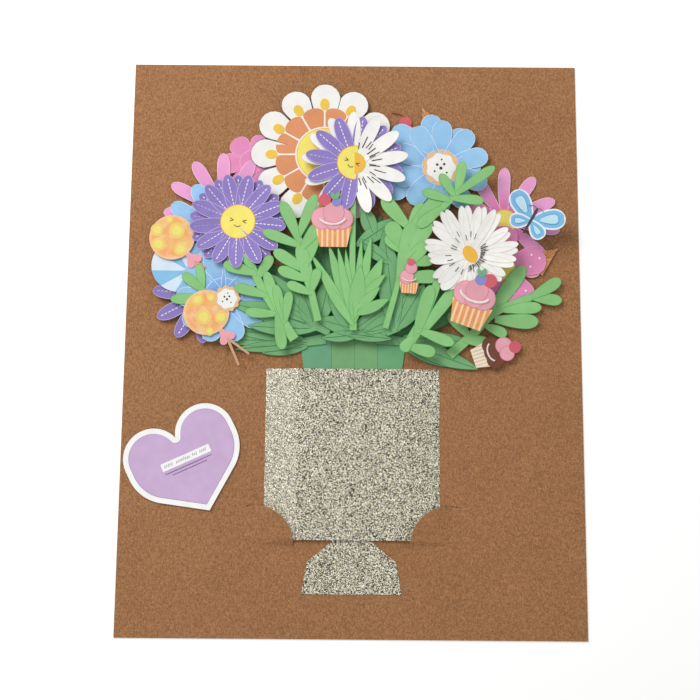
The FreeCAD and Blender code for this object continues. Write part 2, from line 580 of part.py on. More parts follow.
def crossed(name, low):
    """Daisy slotted through its twin: the half on its own side lies above, the rest below."""
    side = CROSSED[name]
    x0 = value_of("sizes.purple_daisy_centre_x")
    y0 = value_of(f"sizes.purple_daisy_centre_y + {DATUM}")
    far = value_of("sizes.board_width")
    flat = grounded(bodies[name].Shape)
    lower = flat.translated(Vector(0, 0, low))
    upper = flat.translated(Vector(0, 0, low + paper))

    def half_plane(x, x_side, y_side, base, height, width=far):
        x_low = x if x_side > 0 else x - width
        y_low = y0 if y_side > 0 else y0 - far
        return Part.makeBox(width, far, height, Vector(x_low, y_low, base))

    parts = [upper.common(half_plane(x0, side, y_side, low + paper, paper)) for y_side in (1, -1)]
    parts.append(lower.common(half_plane(x0, -side, side, low, paper)))
    parts.append(lower.common(half_plane(x0 - side * paper, -side, -side, low, paper)))
    web = half_plane(x0, side, side, low, 2 * paper, paper)
    parts += [lower.common(web), upper.common(web)]
    solid = parts[0].multiFuse(parts[1:]).removeSplitter()
    if len(solid.Solids) != 1:
        raise RuntimeError(f"{name} is in {len(solid.Solids)} pieces")
    return solid.Solids[0]


def level_over(outlines, laid):
    for shape, top in sorted(laid, key=lambda item: item[1], reverse=True):
        if any(overlap(shape, outline) for outline in outlines):
            return top
    return card_top


for piece, level in ((vase_body, card_top), (collar_body, collar_level), (heart, card_top)):
    piece.Placement.Base = Vector(piece.Placement.Base.x, piece.Placement.Base.y, level)
doc.recompute()
laid = [(grounded(vase_body.Shape), vase_top), (grounded(collar_body.Shape), collar_level + pitch)]
nodes = {"backing_card": card, "vase": vase_body, "collar": collar_body, "heart_tag": heart}
for name in LAYING_ORDER:
    if name == "crossed_daisies":
        outlines = [grounded(bodies[twin].Shape) for twin in CROSSED]
        level = level_over(outlines, laid)
        for twin, outline in zip(CROSSED, outlines):
            piece = doc.addObject("Part::Feature", f"{twin}_slotted")
            piece.Label = twin
            piece.Shape = crossed(twin, level)
            nodes[twin] = piece
            laid.append((outline, level + paper + pitch))
        continue
    outline = grounded(bodies[name].Shape)
    level = level_over([outline], laid)
    place = bodies[name].Placement
    bodies[name].Placement = FreeCAD.Placement(Vector(place.Base.x, place.Base.y, level), place.Rotation)
    laid.append((outline, level + pitch))
    nodes[name] = bodies[name]
doc.recompute()

for item in doc.Objects:
    if {"Invalid", "Error"} & set(item.State):
        raise RuntimeError(f"{item.Name} failed: {item.State}")
os.makedirs("parts", exist_ok=True)
for name, piece in nodes.items():
    check(piece.Shape, name)
    if len(piece.Shape.Solids) != 1:
        raise RuntimeError(f"{name} is not one solid")
    piece.Shape.exportStep(f"parts/{name}.step")
print(len(nodes), "nodes, stack", round(max(top for _, top in laid), 2), "mm thick")
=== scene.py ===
import math
import random

import bmesh
import bpy
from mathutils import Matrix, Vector


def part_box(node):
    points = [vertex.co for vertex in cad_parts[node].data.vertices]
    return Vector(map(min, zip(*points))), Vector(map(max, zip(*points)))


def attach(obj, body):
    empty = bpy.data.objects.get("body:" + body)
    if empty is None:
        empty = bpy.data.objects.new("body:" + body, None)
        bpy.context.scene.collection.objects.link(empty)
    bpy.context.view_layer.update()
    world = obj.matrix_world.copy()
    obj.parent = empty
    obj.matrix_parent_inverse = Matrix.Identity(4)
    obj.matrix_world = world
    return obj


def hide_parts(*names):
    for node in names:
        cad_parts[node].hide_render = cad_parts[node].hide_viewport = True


bl_info = {
    "name": "Pop up flower card",
    "version": (1, 0, 0),
    "blender": (4, 5, 0),
    "location": "View3D > Sidebar > Flower card",
    "description": "Dresses a folded pop up card with printed, die-cut paper pieces",
    "category": "Object",
}

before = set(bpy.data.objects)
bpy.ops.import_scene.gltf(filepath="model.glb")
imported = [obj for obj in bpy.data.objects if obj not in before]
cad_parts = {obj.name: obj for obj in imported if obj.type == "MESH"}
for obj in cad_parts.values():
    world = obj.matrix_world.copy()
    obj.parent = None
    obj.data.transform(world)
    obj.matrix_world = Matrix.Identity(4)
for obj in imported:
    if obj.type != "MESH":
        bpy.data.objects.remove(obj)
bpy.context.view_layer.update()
MM = 0.001
# Roughness and specular level of uncoated printed paper
MATT_PAPER = (0.72, 0.22)
# Steps of this share spread tones and small rises evenly over like pieces.
GOLDEN = 0.618


def linear(hex_colour):
    """sRGB hex to the linear colour that the shaders take."""
    values = [int(hex_colour[i:i + 2], 16) / 255 for i in (1, 3, 5)]
    return tuple(v / 12.92 if v <= 0.04045 else ((v + 0.055) / 1.055) ** 2.4 for v in values)


def colour_property(name, description, hex_colour):
    return bpy.props.FloatVectorProperty(name=name, description=description, subtype="COLOR",
                                         size=3, min=0, max=1, default=linear(hex_colour))


def length_property(name, description, millimetres):
    return bpy.props.FloatProperty(name=name, description=description, unit="LENGTH",
                                   min=0, default=millimetres * MM, precision=5)


class CardColours(bpy.types.PropertyGroup):
    """Inks and papers of the card."""

    kraft: colour_property("Kraft card", "Backing card", "#A1734E")
    glitter: colour_property("Glitter", "Silver-gold glitter paper of the vase", "#BDB298")
    light_green: colour_property("Light green", "Sprigs in front", "#92CC84")
    mid_green: colour_property("Mid green", "Dark leaves and collar", "#7CB47C")
    deep_green: colour_property("Deep green", "Leaves at the back", "#639A68")
    purple: colour_property("Purple", "Stitched daisies", "#9482C6")
    white: colour_property("White", "White petals", "#FAF8F3")
    yellow: colour_property("Yellow", "Flower middles", "#F8E874")
    orange: colour_property("Orange", "Orange print", "#E8A274")
    blue: colour_property("Blue", "Blue petals", "#9FCFF4")
    pink: colour_property("Pink", "Pink petals", "#F2A8D6")
    magenta: colour_property("Magenta", "Magenta petals", "#EA92C0")
    lilac: colour_property("Lilac", "Heart tag", "#D4B6DC")
    ink: colour_property("Ink", "Dark fine lines of the print", "#4A4038")


class CardSizes(bpy.types.PropertyGroup):
    """Sizes that the print and the bent paper follow."""

    paper: length_property("Paper", "Thickness of a die-cut sheet", 0.3)
    swell: length_property("Swell", "How far the whole bouquet rises and falls", 0.9)
    stitch_length: length_property("Stitch length", "One printed stitch on a petal", 1.15)
    stitch_width: length_property("Stitch width", "Width of a printed stitch", 0.4)
    stitch_pitch: length_property("Stitch pitch", "From one stitch to the next", 1.65)
    score_pitch: length_property("Score pitch", "From one dot to the next on a fold", 1.1)
    stroke: length_property("Stroke", "Width of a fine ink line", 0.24)
    glitter_grain: length_property("Glitter grain", "One glitter flake, drawn coarse", 0.32)


def sizes():
    return bpy.context.scene.card_sizes


def colours():
    return bpy.context.scene.card_colours


# Materials

def add_node(tree, kind, inputs=None, **settings):
    """One node with its settings; an input is a value or the socket that feeds it."""
    node = tree.nodes.new(kind)
    for key, value in settings.items():
        setattr(node, key, value)
    for socket, value in (inputs or {}).items():
        if isinstance(value, bpy.types.NodeSocket):
            tree.links.new(value, node.inputs[socket])
        else:
            node.inputs[socket].default_value = value
    return node


def rgba(colour, factor=1.0):
    """Colour with its alpha, made lighter or darker by a factor."""
    return tuple(min(1, c * factor) for c in colour) + (1,)


def start_material(name, roughness, specular=0.3, metallic=0.0):
    """Material with a bare shader; returns it with its tree, shader and object coordinates."""
    material = bpy.data.materials.new(name)
    material.use_nodes = True
    tree = material.node_tree
    tree.nodes.clear()
    shader = add_node(tree, "ShaderNodeBsdfPrincipled",
                      {"Roughness": roughness, "Specular IOR Level": specular,
                       "Metallic": metallic})
    add_node(tree, "ShaderNodeOutputMaterial", {"Surface": shader.outputs["BSDF"]})
    coords = add_node(tree, "ShaderNodeTexCoord").outputs["Object"]
    return material, tree, shader, coords


def noise_at(tree, coords, grain_mm, detail=2):
    """Noise whose features are about the given size in millimetres."""
    return add_node(tree, "ShaderNodeTexNoise",
                    {"Vector": coords, "Scale": 1 / (grain_mm * MM), "Detail": detail})


def blend_colour(tree, factor, first, second):
    """Colour between two others; each argument is a value or a socket."""
    mix = add_node(tree, "ShaderNodeMix", data_type="RGBA")
    for socket, value in (("Factor_Float", factor), ("A_Color", first), ("B_Color", second)):
        slot = next(s for s in mix.inputs if s.identifier == socket)
        if isinstance(value, bpy.types.NodeSocket):
            tree.links.new(value, slot)
        else:
            slot.default_value = value
    return next(s for s in mix.outputs if s.identifier == "Result_Color")


def ramp(tree, value, low, high, to_low=0.0, to_high=1.0):
    """Maps a value from low..high to the given range and clamps it."""
    return add_node(tree, "ShaderNodeMapRange",
                    {"Value": value, "From Min": low, "From Max": high,
                     "To Min": to_low, "To Max": to_high}).outputs["Result"]


def add_bump(tree, shader, height, strength, depth_mm):
    bump = add_node(tree, "ShaderNodeBump",
                    {"Height": height, "Strength": strength, "Distance": depth_mm * MM})
    tree.links.new(bump.outputs["Normal"], shader.inputs["Normal"])


def add_fibres(tree, shader, coords):
    """Relief of paper fibres, drawn at 0.5 mm because real ones are finer than a pixel."""
    add_bump(tree, shader, noise_at(tree, coords, 0.5, 3).outputs["Fac"], 0.35, 0.05)


def cells_at(tree, coords, size):
    """Red, green and blue shares that change at random from one cell to the next."""
    cells = add_node(tree, "ShaderNodeTexVoronoi", {"Vector": coords, "Scale": 1 / size})
    return add_node(tree, "ShaderNodeSeparateColor", {"Color": cells.outputs["Color"]}).outputs


def printed_paper(name, ink, rim=None, rim_mm=0.3, root=None, root_mm=(6, 14)):
    """Uncoated die-cut paper with offset print: matt, with a soft mottle of ink, a slightly
    different tone on each petal, and a white or dark rim along the cut, mostly printed
    outline, in places painted shade."""
    material, tree, shader, coords = start_material(name, *MATT_PAPER)
    mottle = noise_at(tree, coords, 5).outputs["Fac"]
    colour = blend_colour(tree, ramp(tree, mottle, 0.3, 0.7), rgba(ink, 0.94), rgba(ink, 1.04))
    tone = add_node(tree, "ShaderNodeAttribute", attribute_name="tone").outputs["Fac"]
    colour = blend_colour(tree, ramp(tree, tone, 0, 1, 0, 0.35), colour, rgba(ink, 0.74))
    if root:
        along = add_node(tree, "ShaderNodeAttribute", attribute_name="along").outputs["Fac"]
        colour = blend_colour(tree, ramp(tree, along, root_mm[0], root_mm[1], 1, 0),
                              colour, rgba(root))
    if rim:
        edge = add_node(tree, "ShaderNodeAttribute", attribute_name="edge").outputs["Fac"]
        colour = blend_colour(tree, ramp(tree, edge, rim_mm * 0.7, rim_mm * 1.3, 1, 0),
                              colour, rgba(rim))
    tree.links.new(colour, shader.inputs["Base Color"])
    add_fibres(tree, shader, coords)
    return material


def kraft_card(name):
    """Uncoated kraft board: matt brown with flecks, pale and dark fibres and a paler edge."""
    ink = colours().kraft
    material, tree, shader, coords = start_material(name, 0.85, 0.15)
    cloud = noise_at(tree, coords, 28).outputs["Fac"]
    colour = blend_colour(tree, ramp(tree, cloud, 0.3, 0.7), rgba(ink, 0.93), rgba(ink, 1.06))
    fleck = cells_at(tree, coords, 0.5 * MM)["Red"]
    colour = blend_colour(tree, ramp(tree, fleck, 0, 0.5, 0.5, 0), colour, rgba(ink, 0.5))
    colour = blend_colour(tree, ramp(tree, fleck, 0.5, 1, 0, 0.5), colour, rgba(ink, 1.6))
    for turn, tint, low, high in ((0.5, 0.6, 0.53, 0.66), (2.2, 1.5, 0.55, 0.68)):
        lie = add_node(tree, "ShaderNodeMapping",
                       {"Vector": coords, "Rotation": (0, 0, turn), "Scale": (1, 0.3, 1)})
        fibre = noise_at(tree, lie.outputs["Vector"], 0.55, 3).outputs["Fac"]
        colour = blend_colour(tree, ramp(tree, fibre, low, high, 0, 0.55), colour, rgba(ink, tint))
    normal = add_node(tree, "ShaderNodeNewGeometry").outputs["Normal"]
    facing = add_node(tree, "ShaderNodeSeparateXYZ", {"Vector": normal}).outputs["Z"]
    level = add_node(tree, "ShaderNodeMath", {0: facing}, operation="ABSOLUTE").outputs[0]
    colour = blend_colour(tree, ramp(tree, level, 0.3, 0.6, 0.75, 0), colour,
                          rgba(linear("#D9C0A6")))
    tree.links.new(colour, shader.inputs["Base Color"])
    add_bump(tree, shader, noise_at(tree, coords, 0.4, 4).outputs["Fac"], 0.5, 0.06)
    return material


def glitter_paper(name):
    """Paper coated with silver-gold glitter: cells of light and dark, partly the glitter's own
    tones and partly painted glints, and a painted highlight on the side that slopes towards the
    lamp."""
    ink = colours().glitter
    material, tree, shader, coords = start_material(name, 0.45, 0.5, 0.25)
    pick = cells_at(tree, coords, sizes().glitter_grain)
    # Cells run from near black to near white: partly the glitter's own tones, partly painted glints.
    shade = add_node(tree, "ShaderNodeValToRGB", {"Fac": pick["Red"]})
    stops = shade.color_ramp.elements
    stops[0].color = rgba(linear("#2A2419"))
    stops[1].color = rgba(linear("#FFFFF6"))
    for place, factor in ((0.34, 0.1), (0.5, 0.9), (0.68, 2.1)):
        stops.new(place).color = rgba(ink, factor)
    # Painted highlight: faces that slope towards the lamp at -x are mixed towards pale gold.
    normal = add_node(tree, "ShaderNodeNewGeometry").outputs["Normal"]
    across = add_node(tree, "ShaderNodeSeparateXYZ", {"Vector": normal}).outputs["X"]
    colour = blend_colour(tree, ramp(tree, across, -0.09, 0, 0.2, 0),
                          shade.outputs["Color"], rgba(linear("#F6F1DC")))
    tree.links.new(colour, shader.inputs["Base Color"])
    tree.links.new(ramp(tree, pick["Green"], 0, 1, 0.25, 0.7), shader.inputs["Roughness"])
    add_bump(tree, shader, pick["Blue"], 0.8, 0.12)
    return material


def glitter_flake(name):
    """Loose metallised film flakes: bright, and each turned its own way."""
    material, tree, shader, coords = start_material(name, 0.3, 0.5, 0.7)
    pick = cells_at(tree, coords, 1.6 * sizes().glitter_grain)
    colour = blend_colour(tree, pick["Red"], rgba(linear("#8F8366")), rgba(linear("#FFF9E8")))
    tree.links.new(colour, shader.inputs["Base Color"])
    return material


def dappled_paper(name, first, second, third):
    """Printed paper with a watercolour wash that drifts between three inks."""
    material, tree, shader, coords = start_material(name, *MATT_PAPER)
    wash = noise_at(tree, coords, 7, 1).outputs["Fac"]
    pools = noise_at(tree, coords, 3, 1).outputs["Fac"]
    colour = blend_colour(tree, ramp(tree, wash, 0.38, 0.62), rgba(first), rgba(second))
    colour = blend_colour(tree, ramp(tree, pools, 0.45, 0.75, 0, 0.6), colour, rgba(third))
    edge = add_node(tree, "ShaderNodeAttribute", attribute_name="edge").outputs["Fac"]
    colour = blend_colour(tree, ramp(tree, edge, 0.3, 1.6, 0.5, 0), colour, rgba(third))
    tree.links.new(colour, shader.inputs["Base Color"])
    add_fibres(tree, shader, coords)
    return material


def striped_paper(name, first, second, pitch_mm, turn, share=0.5):
    """Printed paper with straight stripes of two inks across the piece."""
    material, tree, shader, coords = start_material(name, *MATT_PAPER)
    lie = add_node(tree, "ShaderNodeMapping",
                   {"Vector": coords, "Rotation": (0, 0, turn), "Scale": (1 / (pitch_mm * MM),) * 3})
    across = add_node(tree, "ShaderNodeSeparateXYZ", {"Vector": lie.outputs["Vector"]}).outputs["X"]
    part = add_node(tree, "ShaderNodeMath", {0: across}, operation="FRACT").outputs[0]
    band = ramp(tree, part, share - 0.06, share + 0.06)
    mottle = ramp(tree, noise_at(tree, coords, 2).outputs["Fac"], 0.3, 0.7)
    base = blend_colour(tree, mottle, rgba(first, 0.88), rgba(first, 1.06))
    tree.links.new(blend_colour(tree, band, base, rgba(second)), shader.inputs["Base Color"])
    add_fibres(tree, shader, coords)
    return material


def ink_line(name, ink):
    """A line of printing ink on paper: matt and slightly uneven."""
    material, tree, shader, coords = start_material(name, 0.7, 0.2)
    mottle = ramp(tree, noise_at(tree, coords, 1.2).outputs["Fac"], 0.3, 0.7)
    colour = blend_colour(tree, mottle, rgba(ink, 0.85), rgba(ink, 1.1))
    tree.links.new(colour, shader.inputs["Base Color"])
    return material


# Bent paper sheets

def swell(x, y):
    """Height in mm by which the whole bouquet rises at one spot, the same for every sheet."""
    wave = math.sin(x * 0.16 + 1.1) * math.sin(y * 0.13 + 0.5)
    wave += 0.6 * math.sin(x * 0.07 - y * 0.19)
    start = min(1, max(0, (y + 4) / 16))
    return sizes().swell / MM * start * (0.55 + 0.28 * wave)


def node_level(node):
    """Height in mm of the top face of a sheet."""
    return (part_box(node)[0].z + sizes().paper) / MM


def round_tip(s, belly=0.72, root=0.34):
    """Share of the half width along a petal or leaf with a round tip."""
    if s < belly:
        return root + (1 - root) * math.sin(s / belly * math.pi / 2)
    return math.sqrt(max(0, 1 - ((s - belly) / (1 - belly)) ** 2))


def pointed(s):
    """Share of the half width along a leaf with two points."""
    return max(0.02, math.sin(math.pi * min(1, 0.06 + 0.94 * s)) ** 0.8)


def even(s):
    """Share of the half width along a ribbon that only narrows a little."""
    return 1 - 0.25 * s


class Sheet:
    """One cut sheet of paper, grown from blades, ribbons and discs, as one mesh."""

    def __init__(self, level, curl=None):
        self.level = level
        self.curl = curl
        self.points = []
        self.faces = []
        self.slots = []
        self.marks = {"along": [], "edge": [], "tone": []}

    def spot(self, x, y, rise):
        """Place in metres of a point in mm that lies the given rise above the bent sheet."""
        bent = self.curl(x, y) if self.curl else 0
        return (x * MM, y * MM, (self.level + rise + bent + swell(x, y)) * MM)

    def put(self, x, y, rise, along, edge, tone):
        self.points.append(self.spot(x, y, rise))
        for key, value in (("along", along), ("edge", max(0, edge)), ("tone", tone)):
            self.marks[key].append(value)

    def face(self, corners, slot):
        self.faces.append(corners)
        self.slots.append(slot)

    def blade(self, root, tip, width, profile=round_tip, slot=0, rise=0.0, lift=0.0, cup=0.0,
              tilt=0.0, bend=0.0, tone=0.5, start_along=0.0, steps=12, across=6):
        """Petal or leaf from root to tip; returns its middle line as x, y, rise."""
        run = Vector((tip[0] - root[0], tip[1] - root[1]))
        axis = run.normalized()
        side = Vector((-axis.y, axis.x))
        first = len(self.points)
        middle = []
        for i in range(steps + 1):
            s = 1 - (1 - i / steps) ** 1.5
            half = max(0.03, width / 2 * profile(s))
            bow = bend * 4 * s * (1 - s)
            spot = Vector(root) + axis * (s * run.length) + side * bow
            raised = rise + lift * s * s
            middle.append((spot.x, spot.y, raised))
            for j in range(across + 1):
                t = -1 + 2 * j / across
                place = spot + side * (t * half)
                edge = min(half * (1 - abs(t)), (1 - s) * run.length)
                self.put(place.x, place.y, raised + cup * t * t + tilt * t * half,
                         start_along + s * run.length, edge, tone)
        row = across + 1
        for i in range(steps):
            for j in range(across):
                a = first + i * row + j
                self.face((a, a + row, a + row + 1, a + 1), slot)
        return middle

    def ribbon(self, path, width, slot=0, rise=0.0, tone=0.5, profile=even, steps=24):
        """Stem along a smooth path of points."""
        spots = smooth_path(path, steps)
        first = len(self.points)
        for i, spot in enumerate(spots):
            before, after = spots[max(0, i - 1)], spots[min(len(spots) - 1, i + 1)]
            axis = (after - before).normalized()
            side = Vector((-axis.y, axis.x))
            s = i / (len(spots) - 1)
            half = width / 2 * profile(s)
            for t in (-1, -0.5, 0, 0.5, 1):
                place = spot + side * (t * half)
                self.put(place.x, place.y, rise, s, half * (1 - abs(t)), tone)
        for i in range(len(spots) - 1):
            for j in range(4):
                a = first + i * 5 + j
                self.face((a, a + 5, a + 6, a + 1), slot)

    def disc(self, centre, radius, slot=0, rise=0.0, dome=0.0, tone=0.5, rings=5, sectors=36,
             start=0.0, sweep=2 * math.pi):
        """Round patch; radius is a number or a function of the angle."""
        reach = radius if callable(radius) else lambda angle: radius
        whole = sweep > 2 * math.pi - 1e-6
        count = sectors if whole else sectors + 1
        first = len(self.points)
        self.put(centre[0], centre[1], rise + dome, 0, reach(0), tone)
        for k in range(1, rings + 1):
            share = k / rings
            for i in range(count):
                angle = start + sweep * i / sectors
                r = reach(angle) * share
                self.put(centre[0] + r * math.cos(angle), centre[1] + r * math.sin(angle),
                         rise + dome * (1 - share * share), r, reach(angle) * (1 - share), tone)
        for i in range(sectors):
            j = (i + 1) % count
            self.face((first, first + 1 + i, first + 1 + j), slot)
            for k in range(rings - 1):
                inner, outer = first + 1 + k * count, first + 1 + (k + 1) * count
                self.face((inner + i, outer + i, outer + j, inner + j), slot)

    def panel(self, corners, slot=0, rise=0.0, tone=0.5, cells=8):
        """Four-cornered patch with its corners counterclockwise."""
        first = len(self.points)
        a, b, c, d = (Vector(corner) for corner in corners)
        for i in range(cells + 1):
            u = i / cells
            for j in range(cells + 1):
                v = j / cells
                spot = (a * (1 - u) + b * u) * (1 - v) + (d * (1 - u) + c * u) * v
                edge = min(u, 1 - u) * (b - a).length
                self.put(spot.x, spot.y, rise, 0, edge, tone)
        row = cells + 1
        for i in range(cells):
            for j in range(cells):
                k = first + i * row + j
                self.face((k, k + row, k + row + 1, k + 1), slot)

    def mesh(self, name, materials):
        mesh = bpy.data.meshes.new(name)
        mesh.from_pydata(self.points, [], self.faces)
        for material in materials:
            mesh.materials.append(material)
        mesh.polygons.foreach_set("material_index", self.slots)
        mesh.polygons.foreach_set("use_smooth", [True] * len(self.faces))
        for key, values in self.marks.items():
            mesh.attributes.new(key, "FLOAT", "POINT").data.foreach_set("value", values)
        return mesh

    def make(self, name, materials, nodes=(), thickness=None):
        mesh = self.mesh(name, materials)
        return thicken(name, mesh, thickness or sizes().paper, nodes)


def thicken(name, mesh, thickness, nodes):
    """Gives a thin mesh its wall below, with crisp edges where it was cut."""
    sides = [0] * len(mesh.edges)
    for loop in mesh.loops:
        sides[loop.edge_index] += 1
    cut = mesh.attributes.new("sharp_edge", "BOOLEAN", "EDGE")
    cut.data.foreach_set("value", [count == 1 for count in sides])
    piece = bpy.data.objects.new(name, mesh)
    bpy.context.scene.collection.objects.link(piece)
    wall = piece.modifiers.new("Paper thickness", "SOLIDIFY")
    wall.thickness = thickness
    wall.offset = -1
    return finish_piece(piece, nodes)


def smooth_path(path, steps):
    """Points along a smooth curve through the given ones."""
    spots = [Vector(p) for p in path]
    ends = [spots[0] * 2 - spots[1]] + spots + [spots[-1] * 2 - spots[-2]]
    out = []
    for a, b, c, d in zip(ends, ends[1:], ends[2:], ends[3:]):
        count = max(2, round(steps / (len(spots) - 1)))
        for i in range(count):
            u = i / count
            out.append(0.5 * ((2 * b) + (c - a) * u + (2 * a - 5 * b + 4 * c - d) * u * u
                              + (3 * b - a - 3 * c + d) * u ** 3))
    out.append(spots[-1])
    return out


def finish_piece(piece, nodes=()):
    """Hides the CAD nodes that a finished piece takes the place of, and hangs it on the root body.
    """
    if nodes:
        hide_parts(*nodes)
    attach(piece, "root")
    return piece


def at(centre, angle_deg, distance):
    """Point at a distance from a centre, in a direction in degrees."""
    angle = math.radians(angle_deg)
    return (centre[0] + distance * math.cos(angle), centre[1] + distance * math.sin(angle))


# What repeats along printed lines, as Geometry Nodes

def node_group(name, inputs):
    """Empty geometry tree with named inputs; returns the tree and its input node's outputs."""
    tree = bpy.data.node_groups.new(name, "GeometryNodeTree")
    tree.interface.new_socket("Geometry", in_out="INPUT", socket_type="NodeSocketGeometry")
    for label, kind in inputs:
        tree.interface.new_socket(label, in_out="INPUT", socket_type=kind)
    tree.interface.new_socket("Geometry", in_out="OUTPUT", socket_type="NodeSocketGeometry")
    return tree, add_node(tree, "NodeGroupInput").outputs


def close_group(tree, geometry, material):
    """Ends a tree in real geometry with its material."""
    real = add_node(tree, "GeometryNodeRealizeInstances", {"Geometry": geometry})
    painted = add_node(tree, "GeometryNodeSetMaterial",
                       {"Geometry": real.outputs["Geometry"], "Material": material})
    add_node(tree, "NodeGroupOutput", {"Geometry": painted.outputs["Geometry"]})


def dash_group():
    """Short flat dashes laid end to end along every line of a mesh."""
    tree, given = node_group("printed_dashes", (
        ("Pitch", "NodeSocketFloat"), ("Length", "NodeSocketFloat"), ("Width", "NodeSocketFloat"),
        ("Depth", "NodeSocketFloat"), ("Material", "NodeSocketMaterial")))
    line = add_node(tree, "GeometryNodeMeshToCurve", {"Mesh": given["Geometry"]})
    spaced = add_node(tree, "GeometryNodeResampleCurve", {"Curve": line.outputs["Curve"]})
    set_menu(spaced, "Length")
    tree.links.new(given["Pitch"], spaced.inputs["Length"])
    tangent = add_node(tree, "GeometryNodeInputTangent").outputs["Tangent"]
    turn = add_node(tree, "FunctionNodeAlignEulerToVector", {"Vector": tangent}, axis="X")
    size = add_node(tree, "ShaderNodeCombineXYZ",
                    {"X": given["Length"], "Y": given["Width"], "Z": given["Depth"]})
    dash = add_node(tree, "GeometryNodeMeshCube", {"Size": size.outputs["Vector"]})
    copies = add_node(tree, "GeometryNodeInstanceOnPoints",
                      {"Points": spaced.outputs["Curve"], "Instance": dash.outputs["Mesh"],
                       "Rotation": turn.outputs["Rotation"]})
    close_group(tree, copies.outputs["Instances"], given["Material"])
    return tree


def stroke_group():
    """A thin ink line along every line of a mesh."""
    tree, given = node_group("ink_strokes", (
        ("Width", "NodeSocketFloat"), ("Material", "NodeSocketMaterial")))
    line = add_node(tree, "GeometryNodeMeshToCurve", {"Mesh": given["Geometry"]})
    half = add_node(tree, "ShaderNodeMath", {0: given["Width"], 1: 0.5}, operation="MULTIPLY")
    nib = add_node(tree, "GeometryNodeCurvePrimitiveCircle",
                   {"Resolution": 5, "Radius": half.outputs[0]})
    tube = add_node(tree, "GeometryNodeCurveToMesh",
                    {"Curve": line.outputs["Curve"], "Profile Curve": nib.outputs["Curve"],
                     "Fill Caps": True})
    close_group(tree, tube.outputs["Mesh"], given["Material"])
    return tree


def flake_group():
    """Tiny flakes scattered over the faces that look up, each turned its own way."""
    tree, given = node_group("glitter_flakes", (
        ("Density", "NodeSocketFloat"), ("Size", "NodeSocketFloat"), ("Seed", "NodeSocketInt"),
        ("Material", "NodeSocketMaterial")))
    up = add_node(tree, "ShaderNodeSeparateXYZ",
                  {"Vector": add_node(tree, "GeometryNodeInputNormal").outputs["Normal"]})
    top = add_node(tree, "FunctionNodeCompare", {"A": up.outputs["Z"], "B": 0.9},
                   data_type="FLOAT", operation="GREATER_THAN")
    spots = add_node(tree, "GeometryNodeDistributePointsOnFaces",
                     {"Mesh": given["Geometry"], "Selection": top.outputs["Result"],
                      "Density": given["Density"], "Seed": given["Seed"]})
    flake = add_node(tree, "GeometryNodeMeshCircle", {"Vertices": 5, "Radius": given["Size"]},
                     fill_type="NGON")
    turn = add_node(tree, "FunctionNodeRandomValue", {"Seed": given["Seed"]},
                    data_type="FLOAT_VECTOR")
    turn.inputs[0].default_value = (-0.45, -0.45, 0)
    turn.inputs[1].default_value = (0.45, 0.45, 3.1)
    raised = add_node(tree, "GeometryNodeSetPosition",
                      {"Geometry": spots.outputs["Points"], "Offset": (0, 0, 0.06 * MM)})
    copies = add_node(tree, "GeometryNodeInstanceOnPoints",
                      {"Points": raised.outputs["Geometry"], "Instance": flake.outputs["Mesh"],
                       "Rotation": turn.outputs[0]})
    close_group(tree, copies.outputs["Instances"], given["Material"])
    return tree


def set_menu(node, choice):
    """Sets a node's mode, which is an input in some versions and a property in others."""
    if "Mode" in node.inputs:
        node.inputs["Mode"].default_value = choice
    else:
        node.mode = choice.upper()


def run_group(name, mesh, tree, values):
    """Runs a tree on a mesh and keeps the result as a plain object at the origin."""
    carrier = bpy.data.objects.new(name, mesh)
    bpy.context.scene.collection.objects.link(carrier)
    modifier = carrier.modifiers.new(name, "NODES")
    modifier.node_group = tree
    for item in tree.interface.items_tree:
        if item.in_out == "INPUT" and item.name in values:
            modifier[item.identifier] = values[item.name]
    bpy.context.view_layer.update()
    seen = carrier.evaluated_get(bpy.context.evaluated_depsgraph_get())
    result = bpy.data.meshes.new_from_object(seen)
    carrier.modifiers.clear()
    carrier.data = result
    return carrier


def line_mesh(name, lines, sheet):
    """Mesh of loose lines on a sheet; each line is a list of x, y, rise in mm."""
    points, edges = [], []
    for line in lines:
        first = len(points)
        points += [sheet.spot(x, y, rise) for x, y, rise in line]
        edges += [(first + i, first + i + 1) for i in range(len(line) - 1)]
    mesh = bpy.data.meshes.new(name)
    mesh.from_pydata(points, edges, [])
    return mesh


def dashes(name, lines, sheet, material, pitch, length, width):
    """Rows of flat printed dashes on a sheet."""
    mesh = line_mesh(name, lines, sheet)
    piece = run_group(name, mesh, shared_group("printed_dashes", dash_group),
                      {"Pitch": pitch, "Length": length, "Width": width, "Depth": 0.06 * MM,
                       "Material": material})
    return finish_piece(piece)


def strokes(name, lines, sheet, material, width=None):
    """Fine printed lines on a sheet."""
    mesh = line_mesh(name, lines, sheet)
    piece = run_group(name, mesh, shared_group("ink_strokes", stroke_group),
                      {"Width": width or sizes().stroke, "Material": material})
    return finish_piece(piece)


def shared_group(name, build):
    return bpy.data.node_groups.get(name) or build()


def shared_material(name, build, *values, **options):
    return bpy.data.materials.get(name) or build(name, *values, **options)


def plain(name, hex_colour, **options):
    return shared_material(name, printed_paper, linear(hex_colour), **options)


# Flowers

